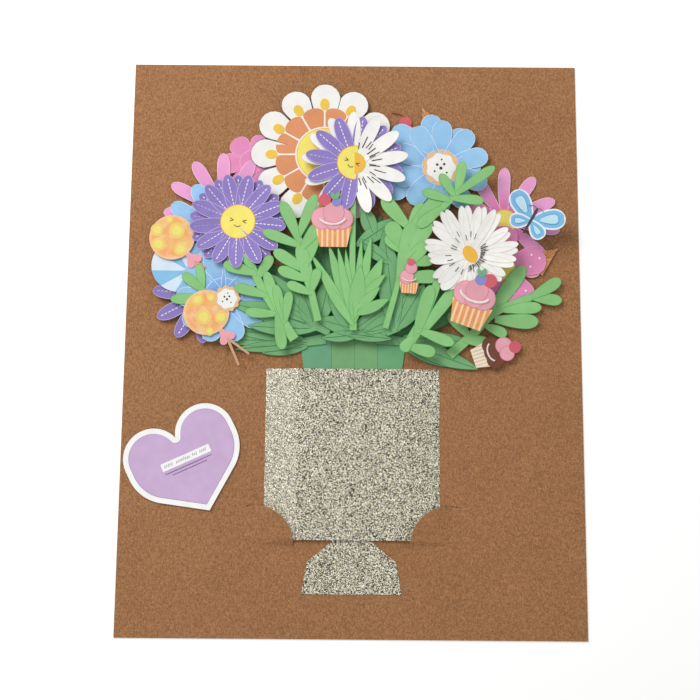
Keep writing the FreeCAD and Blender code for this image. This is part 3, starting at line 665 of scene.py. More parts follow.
# name: x, y of the centre, turn of the first petal, petals, reach, petal width
FLOWERS = {
    "magenta_flower_left": (-46, 81, 5, 6, 13.5, 9.5),
    "pink_daisy_left": (-58, 58, 2, 12, 27, 7),
    "retro_daisy": (-13.6, 84.4, 0, 12, 33.4, 13.4),
    "pink_daisy_right": (67, 54.5, 23, 11, 25, 6.8),
    "magenta_flower_right": (66, 33, 16, 5, 19.5, 12.8),
    "purple_daisy_low_left": (-67, 19.6, 11.4, 11, 21.5, 6.4),
    "blue_daisy_left": (-57, 19, 0, 10, 21, 9),
    "blue_daisy_left_upper": (-62, 50, 7, 10, 22, 7.6),
    "purple_daisy_left_under": (-51.2, 52.3, 6.9, 13, 21.5, 6.3),
    "purple_daisy_left": (-51.2, 52.3, 20.8, 13, 21.5, 6.6),
    "blue_daisy_right_under": (33, 80, -4, 8, 23.5, 10),
    "blue_daisy_right": (38.6, 78.6, 15, 10, 22, 9.4),
    "purple_daisy_centre": (0, 79.4, 20.5, 12, 22, 6.4),
    "white_daisy_centre": (0, 79.2, 8, 13, 24, 6.2),
    "white_daisy_right": (51.1, 40, 4, 15, 21.5, 6),
}


def slim(s):
    """Petal with nearly even sides and a blunt round end."""
    return round_tip(s, 0.6, 0.5) if s < 0.6 else max(0, 1 - ((s - 0.6) / 0.4) ** 2.5) ** 0.55


def spoon(s):
    """Wide petal that is widest near its round end."""
    return round_tip(s, 0.7, 0.28)


def paddle(s):
    """Petal that widens steadily to a broad round end."""
    return round_tip(s, 0.76, 0.42)


def scallop(s):
    """Wedge that touches its neighbours and ends in a half circle."""
    return s / 0.78 if s < 0.78 else math.sqrt(max(0, 1 - ((s - 0.78) / 0.22) ** 2))


def wedge(s):
    """Printed wedge with straight sides and a round outer end."""
    if s < 0.7:
        return 0.6 + 0.4 * s / 0.7
    return math.sqrt(max(0, 1 - 0.97 * ((s - 0.7) / 0.3) ** 2))


def oval(along, across, turn):
    """Reach of an oval in each direction, from its half sizes along and across its turn."""
    def reach(angle):
        return along * across / math.hypot(across * math.cos(angle - turn),
                                           along * math.sin(angle - turn))
    return reach


def petal_ring(sheet, name, profile, seed, slot=0, lift=0.0, cup=0.1, only=None, widen=1.0):
    """All petals of a flower, each a little different; returns their middle lines."""
    x, y, turn, count, reach, width = FLOWERS[name]
    chance = random.Random(seed)
    lines = []
    for i in range(count):
        angle = turn + 360 / count * i
        give = chance.uniform(-1, 1)
        tone, own_lift = chance.random(), chance.uniform(0.3, 1) * lift
        if only and not only(angle):
            continue
        tip = at((x, y), angle + give * 0.6, reach * (1 - 0.015 * abs(give)))
        lines.append(sheet.blade(
            at((x, y), angle, 1.5), tip, width * widen, profile, slot,
            rise=0.11 * ((i * GOLDEN) % 1), lift=own_lift, cup=cup * chance.uniform(0.5, 1.4),
            tilt=0.02 * chance.uniform(-1, 1), bend=give * 0.35, tone=tone, start_along=1.5))
    return lines


def beyond(line, centre, near, short=0.0):
    """The part of a middle line that lies outside a radius, cut short at its tip."""
    far = math.dist(line[-1][:2], centre) - short
    kept = []
    for x, y, rise in line:
        if near <= math.dist((x, y), centre) <= far:
            kept.append((x, y, rise + 0.03))
    return kept


def stitch(name, lines, sheet, centre, near):
    """White printed stitches along the middle of each petal."""
    white = plain("printed_stitches_white", "#F4EFFA")
    size = sizes()
    kept = [beyond(line, centre, near, 1.4) for line in lines]
    dashes(name, [k for k in kept if len(k) > 1], sheet, white,
           size.stitch_pitch, size.stitch_length, size.stitch_width)


def purple_paper():
    return shared_material("offset_printed_paper_purple", printed_paper, tuple(colours().purple),
                           rim=linear("#C9BCE6"), rim_mm=0.22)


def yellow_paper():
    return shared_material("offset_printed_paper_yellow", printed_paper, tuple(colours().yellow),
                           rim=linear("#E9A83C"), rim_mm=0.3)


def white_paper():
    return shared_material("uncoated_white_paper", printed_paper, tuple(colours().white),
                           rim=linear("#DAD6CC"), rim_mm=0.16)


def blue_paper():
    return shared_material("offset_printed_paper_blue", printed_paper, tuple(colours().blue),
                           rim=linear("#D6E7FA"), rim_mm=0.25, root=linear("#7FA9E4"),
                           root_mm=(5, 12))


def dark_ink():
    return shared_material("printing_ink_dark", ink_line, tuple(colours().ink))


def smile(name, centre, turn, sheet, size=1.0):
    """Closed eyes and a small smile in fine strokes."""
    lines = []
    for side in (-1, 1):
        for k in (-1, 1):
            outer = turned((side * 3.7 * size, (0.5 + 0.75 * k) * size), turn, centre)
            inner = turned((side * 2.1 * size, 0.5 * size), turn, centre)
            lines.append([outer + (0.3,), inner + (0.3,)])
    arc = [(-1.4 + 0.7 * i, -1.6 - 0.75 * math.sin(math.pi * i / 4)) for i in range(5)]
    lines.append([turned((a * size, b * size), turn, centre) + (0.3,) for a, b in arc])
    strokes(name, lines, sheet, dark_ink(), width=sizes().stroke * 1.35)


def turned(point, turn, centre):
    """Point of a piece drawn upright at zero, after the piece is turned and placed."""
    angle = math.radians(turn)
    x, y = point
    return (centre[0] + x * math.cos(angle) - y * math.sin(angle),
            centre[1] + x * math.sin(angle) + y * math.cos(angle))


class CARD_OT_purple_daisies(bpy.types.Operator):
    """Stitched purple daisies at the left; the upper one has a yellow middle"""
    bl_idname = "card.purple_daisies"
    bl_label = "Purple daisies"

    def execute(self, context):
        for seed, name in enumerate(("purple_daisy_low_left", "purple_daisy_left_under",
                                     "purple_daisy_left"), start=3):
            x, y = FLOWERS[name][:2]
            top = name == "purple_daisy_left"
            curl = (lambda px, py: 0.0022 * math.dist((px, py), (x, y)) ** 2) if top else None
            sheet = Sheet(node_level(name), curl)
            lines = petal_ring(sheet, name, slim, seed, lift=0.9 if top else 0.12, widen=1.04)
            sheet.disc((x, y), 6, rise=0.14)
            if name != "purple_daisy_left_under":
                sheet.disc((x, y), 7.8, slot=1, rise=0.24, tone=0.2)
            sheet.make(f"{name}_paper", [purple_paper(), yellow_paper()], [name])
            stitch(f"{name}_stitches", lines, sheet, (x, y), 8.4)
            if top:
                smile(f"{name}_smile", (x, y), -8, sheet)
        return {"FINISHED"}


class CARD_OT_crossed_daisies(bpy.types.Operator):
    """Purple and white daisies slotted through each other, one on top at each side"""
    bl_idname = "card.crossed_daisies"
    bl_label = "Crossed daisies"

    def execute(self, context):
        low = node_level("purple_daisy_centre")
        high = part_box("purple_daisy_centre")[1].z / MM
        purple, white = "purple_daisy_centre", "white_daisy_centre"
        left = lambda angle: math.cos(math.radians(angle)) < 0
        right = lambda angle: not left(angle)
        centre = FLOWERS[purple][:2]
        rise_out = lambda px, py: 0.0016 * math.dist((px, py), centre) ** 2
        for side, level, only, curl in (("right", low, right, None), ("left", high, left, rise_out)):
            sheet = Sheet(level, curl)
            lines = petal_ring(sheet, purple, slim, 11, lift=0.15 if side == "right" else 0.6,
                               only=only, widen=1.04)
            if side == "left":
                sheet.disc(centre, 7.8, slot=1, rise=0.24, tone=0.2, start=math.pi * 0.42,
                           sweep=math.pi * 1.16)
            nodes = [purple] if side == "left" else []
            sheet.make(f"{purple}_{side}", [purple_paper(), yellow_paper()], nodes)
            stitch(f"{purple}_stitches_{side}", lines, sheet, centre, 8.4)
            if side == "left":
                smile(f"{purple}_smile", (centre[0] - 1.2, centre[1]), -22, sheet,
                      0.9)
        centre = FLOWERS[white][:2]
        honey = plain("offset_printed_paper_honey", "#F3BE4E")
        for side, level, only, curl in (("left", low, left, None), ("right", high, right, rise_out)):
            sheet = Sheet(level, curl)
            lines = petal_ring(sheet, white, slim, 12, lift=0.15 if side == "left" else 1.2,
                               only=only)
            if side == "right":
                sheet.disc(centre, 4.9, slot=1, rise=0.26, tone=0.2, start=-math.pi / 2,
                           sweep=math.pi)
            nodes = [white] if side == "right" else []
            sheet.make(f"{white}_{side}", [white_paper(), honey], nodes)
            if side == "right":
                petal_strokes(f"{white}_strokes", lines, sheet, centre, 6.4, 15.5)
        return {"FINISHED"}


def petal_strokes(name, lines, sheet, centre, near, far):
    """Fine dark strokes from the middle of a white daisy out along its petals."""
    chance = random.Random(31)
    drawn = []
    for line in lines:
        tip = line[-1]
        angle = math.degrees(math.atan2(tip[1] - centre[1], tip[0] - centre[0]))
        for offset in (-2.3, 0.2, 2.3):
            start = chance.uniform(near, near + 3.5)
            end = min(far, start + chance.uniform(2.5, 5.5))
            spread = offset * 0.62
            a = turned((start, spread), angle, centre)
            b = turned((end, offset), angle, centre)
            level = sum(p[2] for p in line) / len(line) * 0.35
            drawn.append([a + (level + 0.12,), b + (level + 0.16,)])
    strokes(name, drawn, sheet, dark_ink(), sizes().stroke * 1.7)


class CARD_OT_white_daisy(bpy.types.Operator):
    """White daisy at the right with slim petals, fine strokes and an orange eye"""
    bl_idname = "card.white_daisy"
    bl_label = "White daisy"

    def execute(self, context):
        name = "white_daisy_right"
        x, y = FLOWERS[name][:2]
        # The petals stay flat where the right cupcake lies on them.
        weight = CUPCAKES["cupcake_right"][:2]
        sheet = Sheet(node_level(name), lambda px, py: 0.002 * math.dist((px, py), (x, y)) ** 2
                      * ease(math.dist((px, py), weight), 14, 26))
        turn, count, reach, width = FLOWERS[name][2:]
        chance = random.Random(21)
        eye = (x - 0.4, y - 2.3)
        for i in range(count):
            middle = turn + 360 / count * i + chance.uniform(-3, 3)
            share = chance.uniform(0.9, 1.02)
            free = ease(math.dist(at((x, y), middle, reach), weight), 12, 24)
            lift = chance.uniform(0.4, 1.2) * free
            for side in (-1, 1):
                lean = middle + side * chance.uniform(3.2, 4.6)
                tip = at((x, y), lean, reach * share * chance.uniform(0.95, 1))
                sheet.blade(at(eye, middle + side * 10, 2), tip, width * 0.74, slim,
                            rise=0.13 * ((middle * GOLDEN) % 1) + 0.04 * side, lift=lift,
                            cup=0.1, tone=0.7 * chance.random(), start_along=2)
        sheet.blade(at(eye, -128, 3), (38.3, 21.8), 6, slim, rise=0.1, lift=0.5, cup=0.1)
        sheet.disc(eye, 6.5, rise=0.16, tone=0.1)
        sheet.disc(eye, oval(2.9, 4.1, 0.6), slot=1, rise=0.3, tone=0.2)
        honey = plain("offset_printed_paper_honey", "#F3BE4E")
        sheet.make(f"{name}_paper", [white_paper(), honey], [name])
        fine = []
        for k in range(26):
            angle = -95 + 5.2 * k + chance.uniform(-1.5, 1.5)
            near = 4.4 + 1.2 * abs(math.sin(math.radians(angle + 35))) ** 4
            far = near + chance.uniform(1.2, 3.6)
            fine.append([at(eye, angle, near) + (0.3,), at(eye, angle, far) + (0.38,)])
        for k in range(12):
            angle = 70 + 16 * k + chance.uniform(-4, 4)
            near = chance.uniform(6, 9)
            fine.append([at(eye, angle, near) + (0.4,), at(eye, angle, near + 2.6) + (0.5,)])
        strokes(f"{name}_strokes", fine, sheet, dark_ink(), sizes().stroke * 1.1)
        return {"FINISHED"}


class CARD_OT_ringed_daisy(bpy.types.Operator):
    """Large daisy at the back: white petals, a ring of orange, yellow dots and middle"""
    bl_idname = "card.ringed_daisy"
    bl_label = "Ringed daisy"

    def execute(self, context):
        name = "retro_daisy"
        x, y, turn, count = FLOWERS[name][:4]
        sheet = Sheet(node_level(name))
        # The dark rim along the petals' cut edges is painted shade for the narrow gaps between them.
        outline = shared_material("uncoated_white_paper_outlined", printed_paper,
                                  tuple(colours().white), rim=linear("#5E564F"), rim_mm=0.24)
        petal_ring(sheet, name, scallop, 41, lift=0.1, cup=0.02, widen=1.03)
        sheet.disc((x, y), 21.3, slot=4, rise=0.13, rings=4, sectors=48)
        pale_orange = plain("offset_printed_paper_orange", "#E3986A")
        gold = plain("offset_printed_paper_gold", "#F4CB52")
        for k in range(count):
            middle = turn + 15 + 30 * k
            sheet.blade(at((x, y), middle, 12.6), at((x, y), middle, 22.2), 9.7, wedge, slot=1,
                        rise=0.2, tone=(k * GOLDEN) % 1)
            drop = oval(2.8, 2.1, math.radians(turn + 30 * k))
            sheet.disc(at((x, y), turn + 30 * k, 23.6), drop, slot=2, rise=0.26, rings=2,
                       sectors=16)
        sheet.disc((x, y), 13.1, slot=4, rise=0.27)
        sheet.disc((x, y), 12.4, slot=3, rise=0.3)
        sheet.make(f"{name}_paper", [outline, pale_orange, gold, yellow_paper(), white_paper()],
                   [name])
        return {"FINISHED"}


def dotted_middle(sheet, centre, radius, slot, rise):
    """Wavy ring round a white middle with dots; it uses three materials from slot on."""
    sheet.disc(centre, lambda angle: radius * (1 + 0.067 * math.cos(11 * angle)), slot=slot,
               rise=rise, sectors=88)
    sheet.disc(centre, lambda angle: radius * (0.79 + 0.05 * math.cos(7 * angle)),
               slot=slot + 1, rise=rise + 0.04, sectors=56)
    for dx, dy, r in ((-0.2, 0.15, 0.073), (0.18, 0.18, 0.073), (0, -0.05, 0.09),
                      (0.32, -0.3, 0.055), (-0.34, -0.23, 0.055), (0.05, 0.44, 0.05)):
        sheet.disc((centre[0] + dx * radius, centre[1] + dy * radius), r * radius,
                   slot=slot + 2, rise=rise + 0.08, rings=1, sectors=12)


class CARD_OT_blue_daisies(bpy.types.Operator):
    """Blue daisies; the right one has a wavy orange ring round a white middle"""
    bl_idname = "card.blue_daisies"
    bl_label = "Blue daisies"

    def execute(self, context):
        for seed, name in enumerate(("blue_daisy_left", "blue_daisy_left_upper",
                                     "blue_daisy_right_under", "blue_daisy_right"), start=51):
            x, y = FLOWERS[name][:2]
            sheet = Sheet(node_level(name))
            petal_ring(sheet, name, paddle, seed, lift=0.15, cup=0.1, widen=0.98)
            sheet.disc((x, y), 8.4, rise=0.14)
            if name == "blue_daisy_right":
                dotted_middle(sheet, (x, y), 8.2, 1, 0.2)
            peach = plain("offset_printed_paper_peach", "#F0C394")
            sheet.make(f"{name}_paper", [blue_paper(), peach, white_paper(), dark_ink()],
                       [name])
        return {"FINISHED"}


class CARD_OT_pink_flowers(bpy.types.Operator):
    """Pink daisies and magenta flowers with white dots behind the others"""
    bl_idname = "card.pink_flowers"
    bl_label = "Pink flowers"

    def execute(self, context):
        pink = shared_material("offset_printed_paper_pink", printed_paper, tuple(colours().pink),
                               rim=linear("#F8D3EA"), rim_mm=0.22, root=linear("#E27FB4"),
                               root_mm=(7, 15))
        magenta = shared_material("offset_printed_paper_magenta", printed_paper,
                                  tuple(colours().magenta), rim=linear("#F3B4D4"), rim_mm=0.22)
        for seed, name in enumerate(("pink_daisy_left", "pink_daisy_right",
                                     "magenta_flower_left", "magenta_flower_right"), start=61):
            x, y, turn, count, reach = FLOWERS[name][:5]
            rich = name.startswith("magenta")
            sheet = Sheet(node_level(name))
            petal_ring(sheet, name, spoon if rich else paddle, seed, lift=0.12, cup=0.06,
                       widen=1.0 if rich else 0.84)
            if name == "magenta_flower_right":
                for k in range(count):
                    for turn_off, distance in ((-12, 0.62), (10, 0.72), (0, 0.86)):
                        spot = at((x, y), turn + 360 / count * k + turn_off, reach * distance)
                        sheet.disc(spot, 0.55, slot=2, rise=0.22, rings=1, sectors=10)
            middle = 0 if name == "magenta_flower_left" else 1
            sheet.disc((x, y), 5.5, slot=middle, rise=0.26)
            sheet.make(f"{name}_paper", [magenta if rich else pink, yellow_paper(), white_paper()],
                       [name])
        return {"FINISHED"}


# Foliage

# name: stem as points, stem width, leaves as root x, root y, tip x, tip y, width
SPRIGS = {
    "leaves_back": (((0, 4), (0, 30)), 10, (
        (0, 4, -44, 36, 15), (0, 4, -24, 54, 15), (0, 6, 0, 58, 14), (0, 4, 24, 54, 15),
        (0, 4, 44, 34, 15), (0, 4, -46, 12, 13), (0, 4, 50, 14, 13), (0, 4, -35, 47, 13),
        (0, 4, -12, 57, 13), (0, 4, 12, 57, 13), (0, 4, 35, 46, 13), (0, 4, 50, 24, 12),
        (0, 4, -50, 23, 12))),
    "leaves_low_left": (((-12, 1), (-24, -1)), 5, (
        (-20, 0, -63, 0, 5.5), (-22, -1, -52, -4, 5), (-20, -2.5, -40, -5.5, 5),
        (-22, 1, -55, 5, 5.5))),
    "leaves_low_right": (((10, 1), (24, 0)), 5, (
        (20, 0, 42, -11, 6), (20, 1, 55, -12, 8), (22, 2, 52, 0, 7))),
    "leaves_left": (((-10, 4), (-20, 8)), 5, (
        (-16, 6, -54, 16, 9), (-18, 8, -38, 29.5, 9), (-15, 7, -10, 29, 8.5),
        (-17, 6, -22, 21, 9), (-16, 5, -46, 6, 7), (-18, 6, -38, 13, 7))),
    "leaves_centre": (((-6, 3), (6, 3)), 4, (
        (-15, 9, 9, 2, 8), (0, 4, 17, 16, 6.5), (-1, 4, -11, 21, 7), (4, 3, 30, 15, 7.5),
        (-4, 3, 17, 0.6, 5), (4, 3, -14, 0.8, 5), (2, 3, 24, 7, 5.5))),
    "leaves_centre_right": (((14, 4), (20, 6)), 5, (
        (18, 4, 13, 49, 11), (19, 5, 31, 25, 10), (18, 5, 27, 32, 7), (16, 34, 2, 45, 6),
        (1, 42, 20, 55, 7), (9, 46, 4, 60, 7))),
    "sprig_far_left": (((-56, 12), (-66, 22)), 2.2, (
        (-62, 18, -80, 17.5, 4.8), (-65, 21, -75, 29, 4.6), (-66, 22, -68, 33, 4),
        (-60, 16, -64, 6, 4))),
    "fan_centre": (((0, 4), (-0.6, 30), (-0.4, 62)), 3.2, (
        (0, 7, -11, 42, 4.8), (0, 7, -7, 41, 3.8), (0, 8, -3.6, 40, 3.2), (1, 9, 3.4, 45, 3.2),
        (1, 8, 7.6, 46, 4.4), (1, 10, 12.5, 36, 7), (1.5, 11, 15.5, 18, 4.8),
        (0, 6, -19, 38, 4.2), (0, 6, -14, 27, 4.2), (0, 7, 3, 33, 7), (1, 15, 14, 29, 4.2),
        (1, 13, 11.5, 23, 4))),
    "sprig_left": (((-25.5, 0), (-33.8, 12.8), (-40.3, 23.1), (-45, 33)), 4.4, (
        (-43, 29, -57, 33, 5.4), (-44.5, 31.5, -47.5, 38, 4.8), (-42, 27, -36, 37, 4.8),
        (-38, 19, -52, 23, 4.8), (-32, 11, -38.5, 30, 4.8), (-33, 11, -47, 12, 4.4),
        (-30, 7, -34, 24, 4.4), (-33, 11, -30.5, -4.5, 5), (-29.5, 8, -28, 21, 4.2))),
    "sprig_centre_left": (((-15.3, 8), (-18.6, 22), (-21.2, 36), (-25, 47)), 3.4, (
        (-24.5, 44, -32, 61, 5.4), (-24.5, 45, -17, 64.5, 5), (-23, 41, -40, 47.5, 4.8),
        (-23, 40, -15.5, 51, 5.4), (-21, 32, -17, 46, 5.4), (-21, 30, -35, 39, 5.4),
        (-20.5, 26, -33, 31, 5), (-18, 20, -29, 24.5, 4.4), (-18.2, 21, -15.5, 31, 4.4),
        (-18, 20, -24, 42, 6))),
    "sprig_centre_right": (((13.9, 5), (19.5, 26), (24, 50)), 2.8, (
        (24, 50, 12.5, 63.5, 6.4), (24.5, 49, 38.5, 64, 6.6), (23, 40, 15, 52, 7.5),
        (22, 36, 33.5, 53, 7.5), (21, 27, 37.5, 28, 6), (23, 38, 14, 46, 6),
        (23.5, 42, 30, 61, 6.4), (21, 30, 32, 43, 6), (20, 27, 25.5, 52, 7.4),
        (21.5, 34, 35, 35, 5))),
    "sprig_top_right": (((36, 56), (46, 66)), 3.4, (
        (45, 64.5, 48, 80, 4.6), (45.5, 65.5, 62, 77.5, 4.6), (43, 63, 57, 62, 4.6),
        (42, 62, 30, 66, 4.6), (39, 59, 28, 50, 5), (44, 64, 38, 74, 4.4))),
    "sprig_right": (((24, -2), (30, 9), (35, 21), (38, 30)), 4.6, (
        (24, -3, 35.5, -5.8, 5.4), (28, 4, 43.5, -1.8, 5), (30, 3, 45.5, 24, 5.6),
        (26, 1, 21, -5, 5), (44, 20, 50, 35, 5), (27, 1, 34, 24, 6))),
    "sprig_far_right": (((42, -6), (52, 3), (62, 13), (80, 21)), 4.4, (
        (59, 11, 75.5, 34, 7), (78, 20, 91, 28, 5.4), (78, 20, 91.5, 18.5, 5.2),
        (66, 14, 82.5, 15.5, 5.4), (62, 10, 81, 9, 6.6), (58, 7, 67, 3, 4.8),
        (50, 3, 42, 13, 6), (48, 1, 59, 0, 5))),
}


def leaf_shape(s):
    """Leaf of a sprig: stalk that widens to a blunt round end."""
    return round_tip(s, 0.72, 0.45)


def build_sprig(name, material, profile, seed, lift=0.15, vein=None):
    """One sheet with a stem and all its leaves, each a little different."""
    stem, stem_width, leaves = SPRIGS[name]
    chance = random.Random(seed)
    sheet = Sheet(node_level(name))
    sheet.ribbon(stem, stem_width, rise=0.02, tone=0.4)
    lines = []
    for i, (root_x, root_y, tip_x, tip_y, width) in enumerate(leaves):
        lines.append(sheet.blade(
            (root_x, root_y), (tip_x, tip_y), width, profile,
            rise=0.03 + 0.1 * ((i * GOLDEN) % 1), lift=lift * chance.uniform(-0.1, 1),
            cup=0.08 * chance.uniform(-1, 1), tilt=0.03 * chance.uniform(-1, 1),
            bend=chance.uniform(-0.06, 0.06) * width, tone=chance.random()))
    sheet.make(f"{name}_paper", [material], [name])
    if vein:
        drawn = [[(x, y, rise + 0.03) for x, y, rise in line[1:-2]] for line in lines]
        strokes(f"{name}_veins", drawn, sheet, vein)


class CARD_OT_dark_leaves(bpy.types.Operator):
    """Dark green leaves with pointed ends behind and under the sprigs"""
    bl_idname = "card.dark_leaves"
    bl_label = "Dark leaves"

    def execute(self, context):
        colour = colours()
        deep = shared_material("offset_printed_paper_deep_green", printed_paper,
                               tuple(colour.deep_green), rim=linear("#2F6B45"), rim_mm=0.2)
        middle = shared_material("offset_printed_paper_mid_green", printed_paper,
                                 tuple(colour.mid_green), rim=linear("#3C8555"), rim_mm=0.2)
        vein = shared_material("printing_ink_green", ink_line, linear("#3F8657"))
        for seed, name in enumerate(("leaves_back", "leaves_low_left", "leaves_low_right",
                                     "leaves_left", "leaves_centre", "leaves_centre_right"), 71):
            paper = deep if name == "leaves_back" else middle
            build_sprig(name, paper, pointed, seed, vein=vein)
        return {"FINISHED"}


class CARD_OT_light_sprigs(bpy.types.Operator):
    """Light green sprigs with round leaves in front"""
    bl_idname = "card.light_sprigs"
    bl_label = "Light sprigs"

    def execute(self, context):
        # The dark green rim is partly the leaves' printed outline, partly painted shadow along the
        # cut.
        light = shared_material("offset_printed_paper_light_green", printed_paper,
                                tuple(colours().light_green), rim=linear("#5DAF5C"), rim_mm=0.2)
        for seed, name in enumerate(("sprig_far_left", "fan_centre", "sprig_left",
                                     "sprig_centre_left", "sprig_centre_right",
                                     "sprig_top_right", "sprig_right", "sprig_far_right"), 81):
            profile = pointed if name == "fan_centre" else leaf_shape
            build_sprig(name, light, profile, seed, lift=0.35)
        return {"FINISHED"}


# Small die-cut pieces

CUPCAKES = {
    "cupcake_small": (24.2, 25.2, -4, 8.4),
    "cupcake_centre": (-9, 50, 0, 16),
    "cupcake_right": (51.6, 15.8, -19, 18),
    "cupcake_chocolate": (58.4, -5.6, -72, 11),
}

# Discs of frosting and fruit: x, y and radius as shares of the wrapper's width, material.
TOPPINGS = {
    "cupcake_small": ((-0.15, 0.25, 0.38, 1), (0.05, 0.75, 0.32, 1), (0.02, 1.05, 0.2, 2)),
    "cupcake_centre": ((-0.3, 0.22, 0.32, 1), (0.24, 0.2, 0.3, 1), (0, 0.15, 0.26, 1),
                       (0, 0.38, 0.3, 1), (-0.25, 0.74, 0.17, 2), (0.08, 0.68, 0.13, 4)),
    "cupcake_right": ((-0.24, 0.2, 0.3, 1), (0.2, 0.2, 0.3, 1), (0, 0.15, 0.26, 1),
                      (0, 0.34, 0.28, 1), (0.22, 0.66, 0.17, 2), (0, 0.62, 0.14, 4)),
    "cupcake_chocolate": ((-0.3, 0.24, 0.34, 3), (0.3, 0.24, 0.34, 3), (0, 0.25, 0.36, 3),
                          (0, 0.55, 0.3, 3), (-0.14, 0.74, 0.34, 1), (0.2, 0.76, 0.3, 1),
                          (0.05, 1.14, 0.24, 2)),
}
# Bits of leaf by the fruit: x, y as shares of the width, and the way they point.
LEAF_BITS = {
    "cupcake_centre": ((0.02, 0.74, 110), (0.04, 0.76, 60)),
    "cupcake_right": ((0.0, 0.68, 130), (0.0, 0.68, 85)),
}
WRAPPER_TAPER = 0.74
WRAPPER_DEPTH = 0.58


class CARD_OT_cupcakes(bpy.types.Operator):
    """Cupcakes with striped wrappers, frosting and berries"""
    bl_idname = "card.cupcakes"
    bl_label = "Cupcakes"

    def execute(self, context):
        frosting = plain("printed_frosting_pink", "#EDAAB6", rim=linear("#D98A98"), rim_mm=0.3)
        berry = plain("printed_berry_red", "#DC6675")
        chocolate = plain("printed_chocolate", "#7A4A3A")
        blueberry = plain("printed_blueberry", "#8C8FCB")
        leaf = plain("printed_leaf_green", "#7DB487")
        cream = shared_material("printed_cream_line", ink_line, linear("#FBEDE8"))
        for name, (x, y, turn, width) in CUPCAKES.items():
            stripe, gap, share = ("#EFA468", "#F9D6AE", 0.62)
            if name == "cupcake_chocolate":
                stripe, gap, share = ("#E9D4B4", "#F7EBD8", 0.6)
            wrapper = striped_paper(f"{name}_wrapper", linear(stripe), linear(gap),
                                    width * 0.14, math.radians(-turn), share)
            sheet = Sheet(node_level(name))
            half, low = width / 2, width / 2 * WRAPPER_TAPER
            corners = [(-low, -width * WRAPPER_DEPTH), (low, -width * WRAPPER_DEPTH),
                       (half, 0), (-half, 0)]
            sheet.panel([turned(c, turn, (x, y)) for c in corners], rise=0.05)
            for i, (dx, dy, radius, slot) in enumerate(TOPPINGS[name]):
                spot = turned((dx * width, dy * width), turn, (x, y))
                sheet.disc(spot, radius * width, slot=slot, rise=0.12 + 0.045 * i,
                           tone=(i * GOLDEN) % 1, sectors=24, rings=3)
            for leaf_x, leaf_y, lean in LEAF_BITS.get(name, ()):
                spot = turned((leaf_x * width, leaf_y * width), turn, (x, y))
                sheet.blade(spot, at(spot, turn + lean, width * 0.24), width * 0.12, pointed,
                            slot=5, rise=0.5)
            sheet.make(f"{name}_paper", [wrapper, frosting, berry, chocolate, blueberry, leaf],
                       [name])
            swirl = [turned((width * (0.38 * math.cos(a) - 0.02),
                             width * (0.3 + 0.26 * math.sin(a))), turn, (x, y)) + (0.42,)
                     for a in (3.5 + 0.22 * k for k in range(12))]
            strokes(f"{name}_swirl", [swirl], sheet, cream, width * 0.07 * MM)
        return {"FINISHED"}


# name: x, y of the centre, way that the neck points, length of the string
BALLOONS = {
    "balloon_upper": (-80.2, 45.2, -46, 4),
    "balloon_lower": (-64.1, 11.7, -50, 10),
}
# Printed spots: x, y, radius
BALLOON_SPOTS = {
    "balloon_upper": ((-86.9, 48.6, 2.5), (-78.2, 48.1, 3.1), (-86, 42.1, 2.7),
                      (-76.3, 40, 2.6), (-81.5, 53.2, 1.5)),
    "balloon_lower": ((-65.2, 9.6, 3.0), (-57.6, 9.6, 2.4), (-67.9, 17.2, 2.3),
                      (-62.2, 18.4, 1.6), (-62.5, 3.2, 1.6)),
}
# name: x, y of the point, way that the cone opens
CONES = {
    "cone_top": (30.6, 106.8, -66),
    "cone_right": (90.4, 42.2, 215),
}


class CARD_OT_balloons(bpy.types.Operator):
    """Two spotted balloons and a striped ball at the left"""
    bl_idname = "card.balloons"
    bl_label = "Balloons"

    def execute(self, context):
        orange = shared_material("watercolour_print_orange", dappled_paper, linear("#F2AC6A"),
                                 linear("#F0BE74"), linear("#F8D6B4"))
        spot = plain("printed_spot_yellow", "#F5E67C")
        halo = plain("printed_spot_halo", "#F5D37A")
        knot = plain("printed_knot_pink", "#F2ABB8")
        cord = plain("printed_string_tan", "#D9A583")
        peach = plain("offset_printed_paper_peach", "#F0C394")
        for name, (x, y, turn, tail) in BALLOONS.items():
            sheet = Sheet(node_level(name))
            sheet.disc((x, y), 10, rise=0.1, sectors=48)
            foot = at((x, y), turn, 14.5)
            sheet.blade(at((x, y), turn, 8.5), foot, 3.4, lambda s: 0.5 + 0.5 * s, slot=3,
                        rise=0.04)
            for lean in (-62, 58):
                sheet.blade(at((x, y), turn, 11.5), at(foot, turn + lean, 3.4), 3.2, paddle,
                            slot=3, rise=0.08 + 0.0004 * lean)
            for lean, long in ((-16, 3 + tail), (14, 2 + tail)):
                sheet.blade(foot, at(foot, turn + lean, long), 1.2, even, slot=4, rise=0.05)
            for spot_x, spot_y, radius in BALLOON_SPOTS[name]:
                sheet.disc((spot_x, spot_y), radius * 1.15, slot=2, rise=0.15, rings=2, sectors=24)
                sheet.disc((spot_x, spot_y), radius * 0.72, slot=1, rise=0.19, rings=2, sectors=24)
            if name == "balloon_lower":
                dotted_middle(sheet, (-55.2, 17.8), 5.6, 5, 0.26)
            sheet.make(f"{name}_paper", [orange, spot, halo, knot, cord, peach, white_paper(),
                                         dark_ink()], [name])
        name = "striped_ball"
        x, y = -77, 33
        pole = at((x, y), -30, 5)
        sheet = Sheet(node_level(name))
        reach = lambda angle: ball_reach((x, y), 12, pole, angle)
        count = 12
        for k in range(count):
            sheet.disc(pole, reach, slot=k % 2, rise=0.05, rings=4, sectors=4,
                       start=2 * math.pi * k / count, sweep=2 * math.pi / count)
        sheet.blade(at((x, y), -30, 10), at((x, y), -30, 21), 3, even, rise=0.02)
        sky = plain("printed_ball_blue", "#8CC4EA")
        pale = plain("printed_ball_pale", "#DCEBF8")
        sheet.make(f"{name}_paper", [sky, pale], [name])
        return {"FINISHED"}


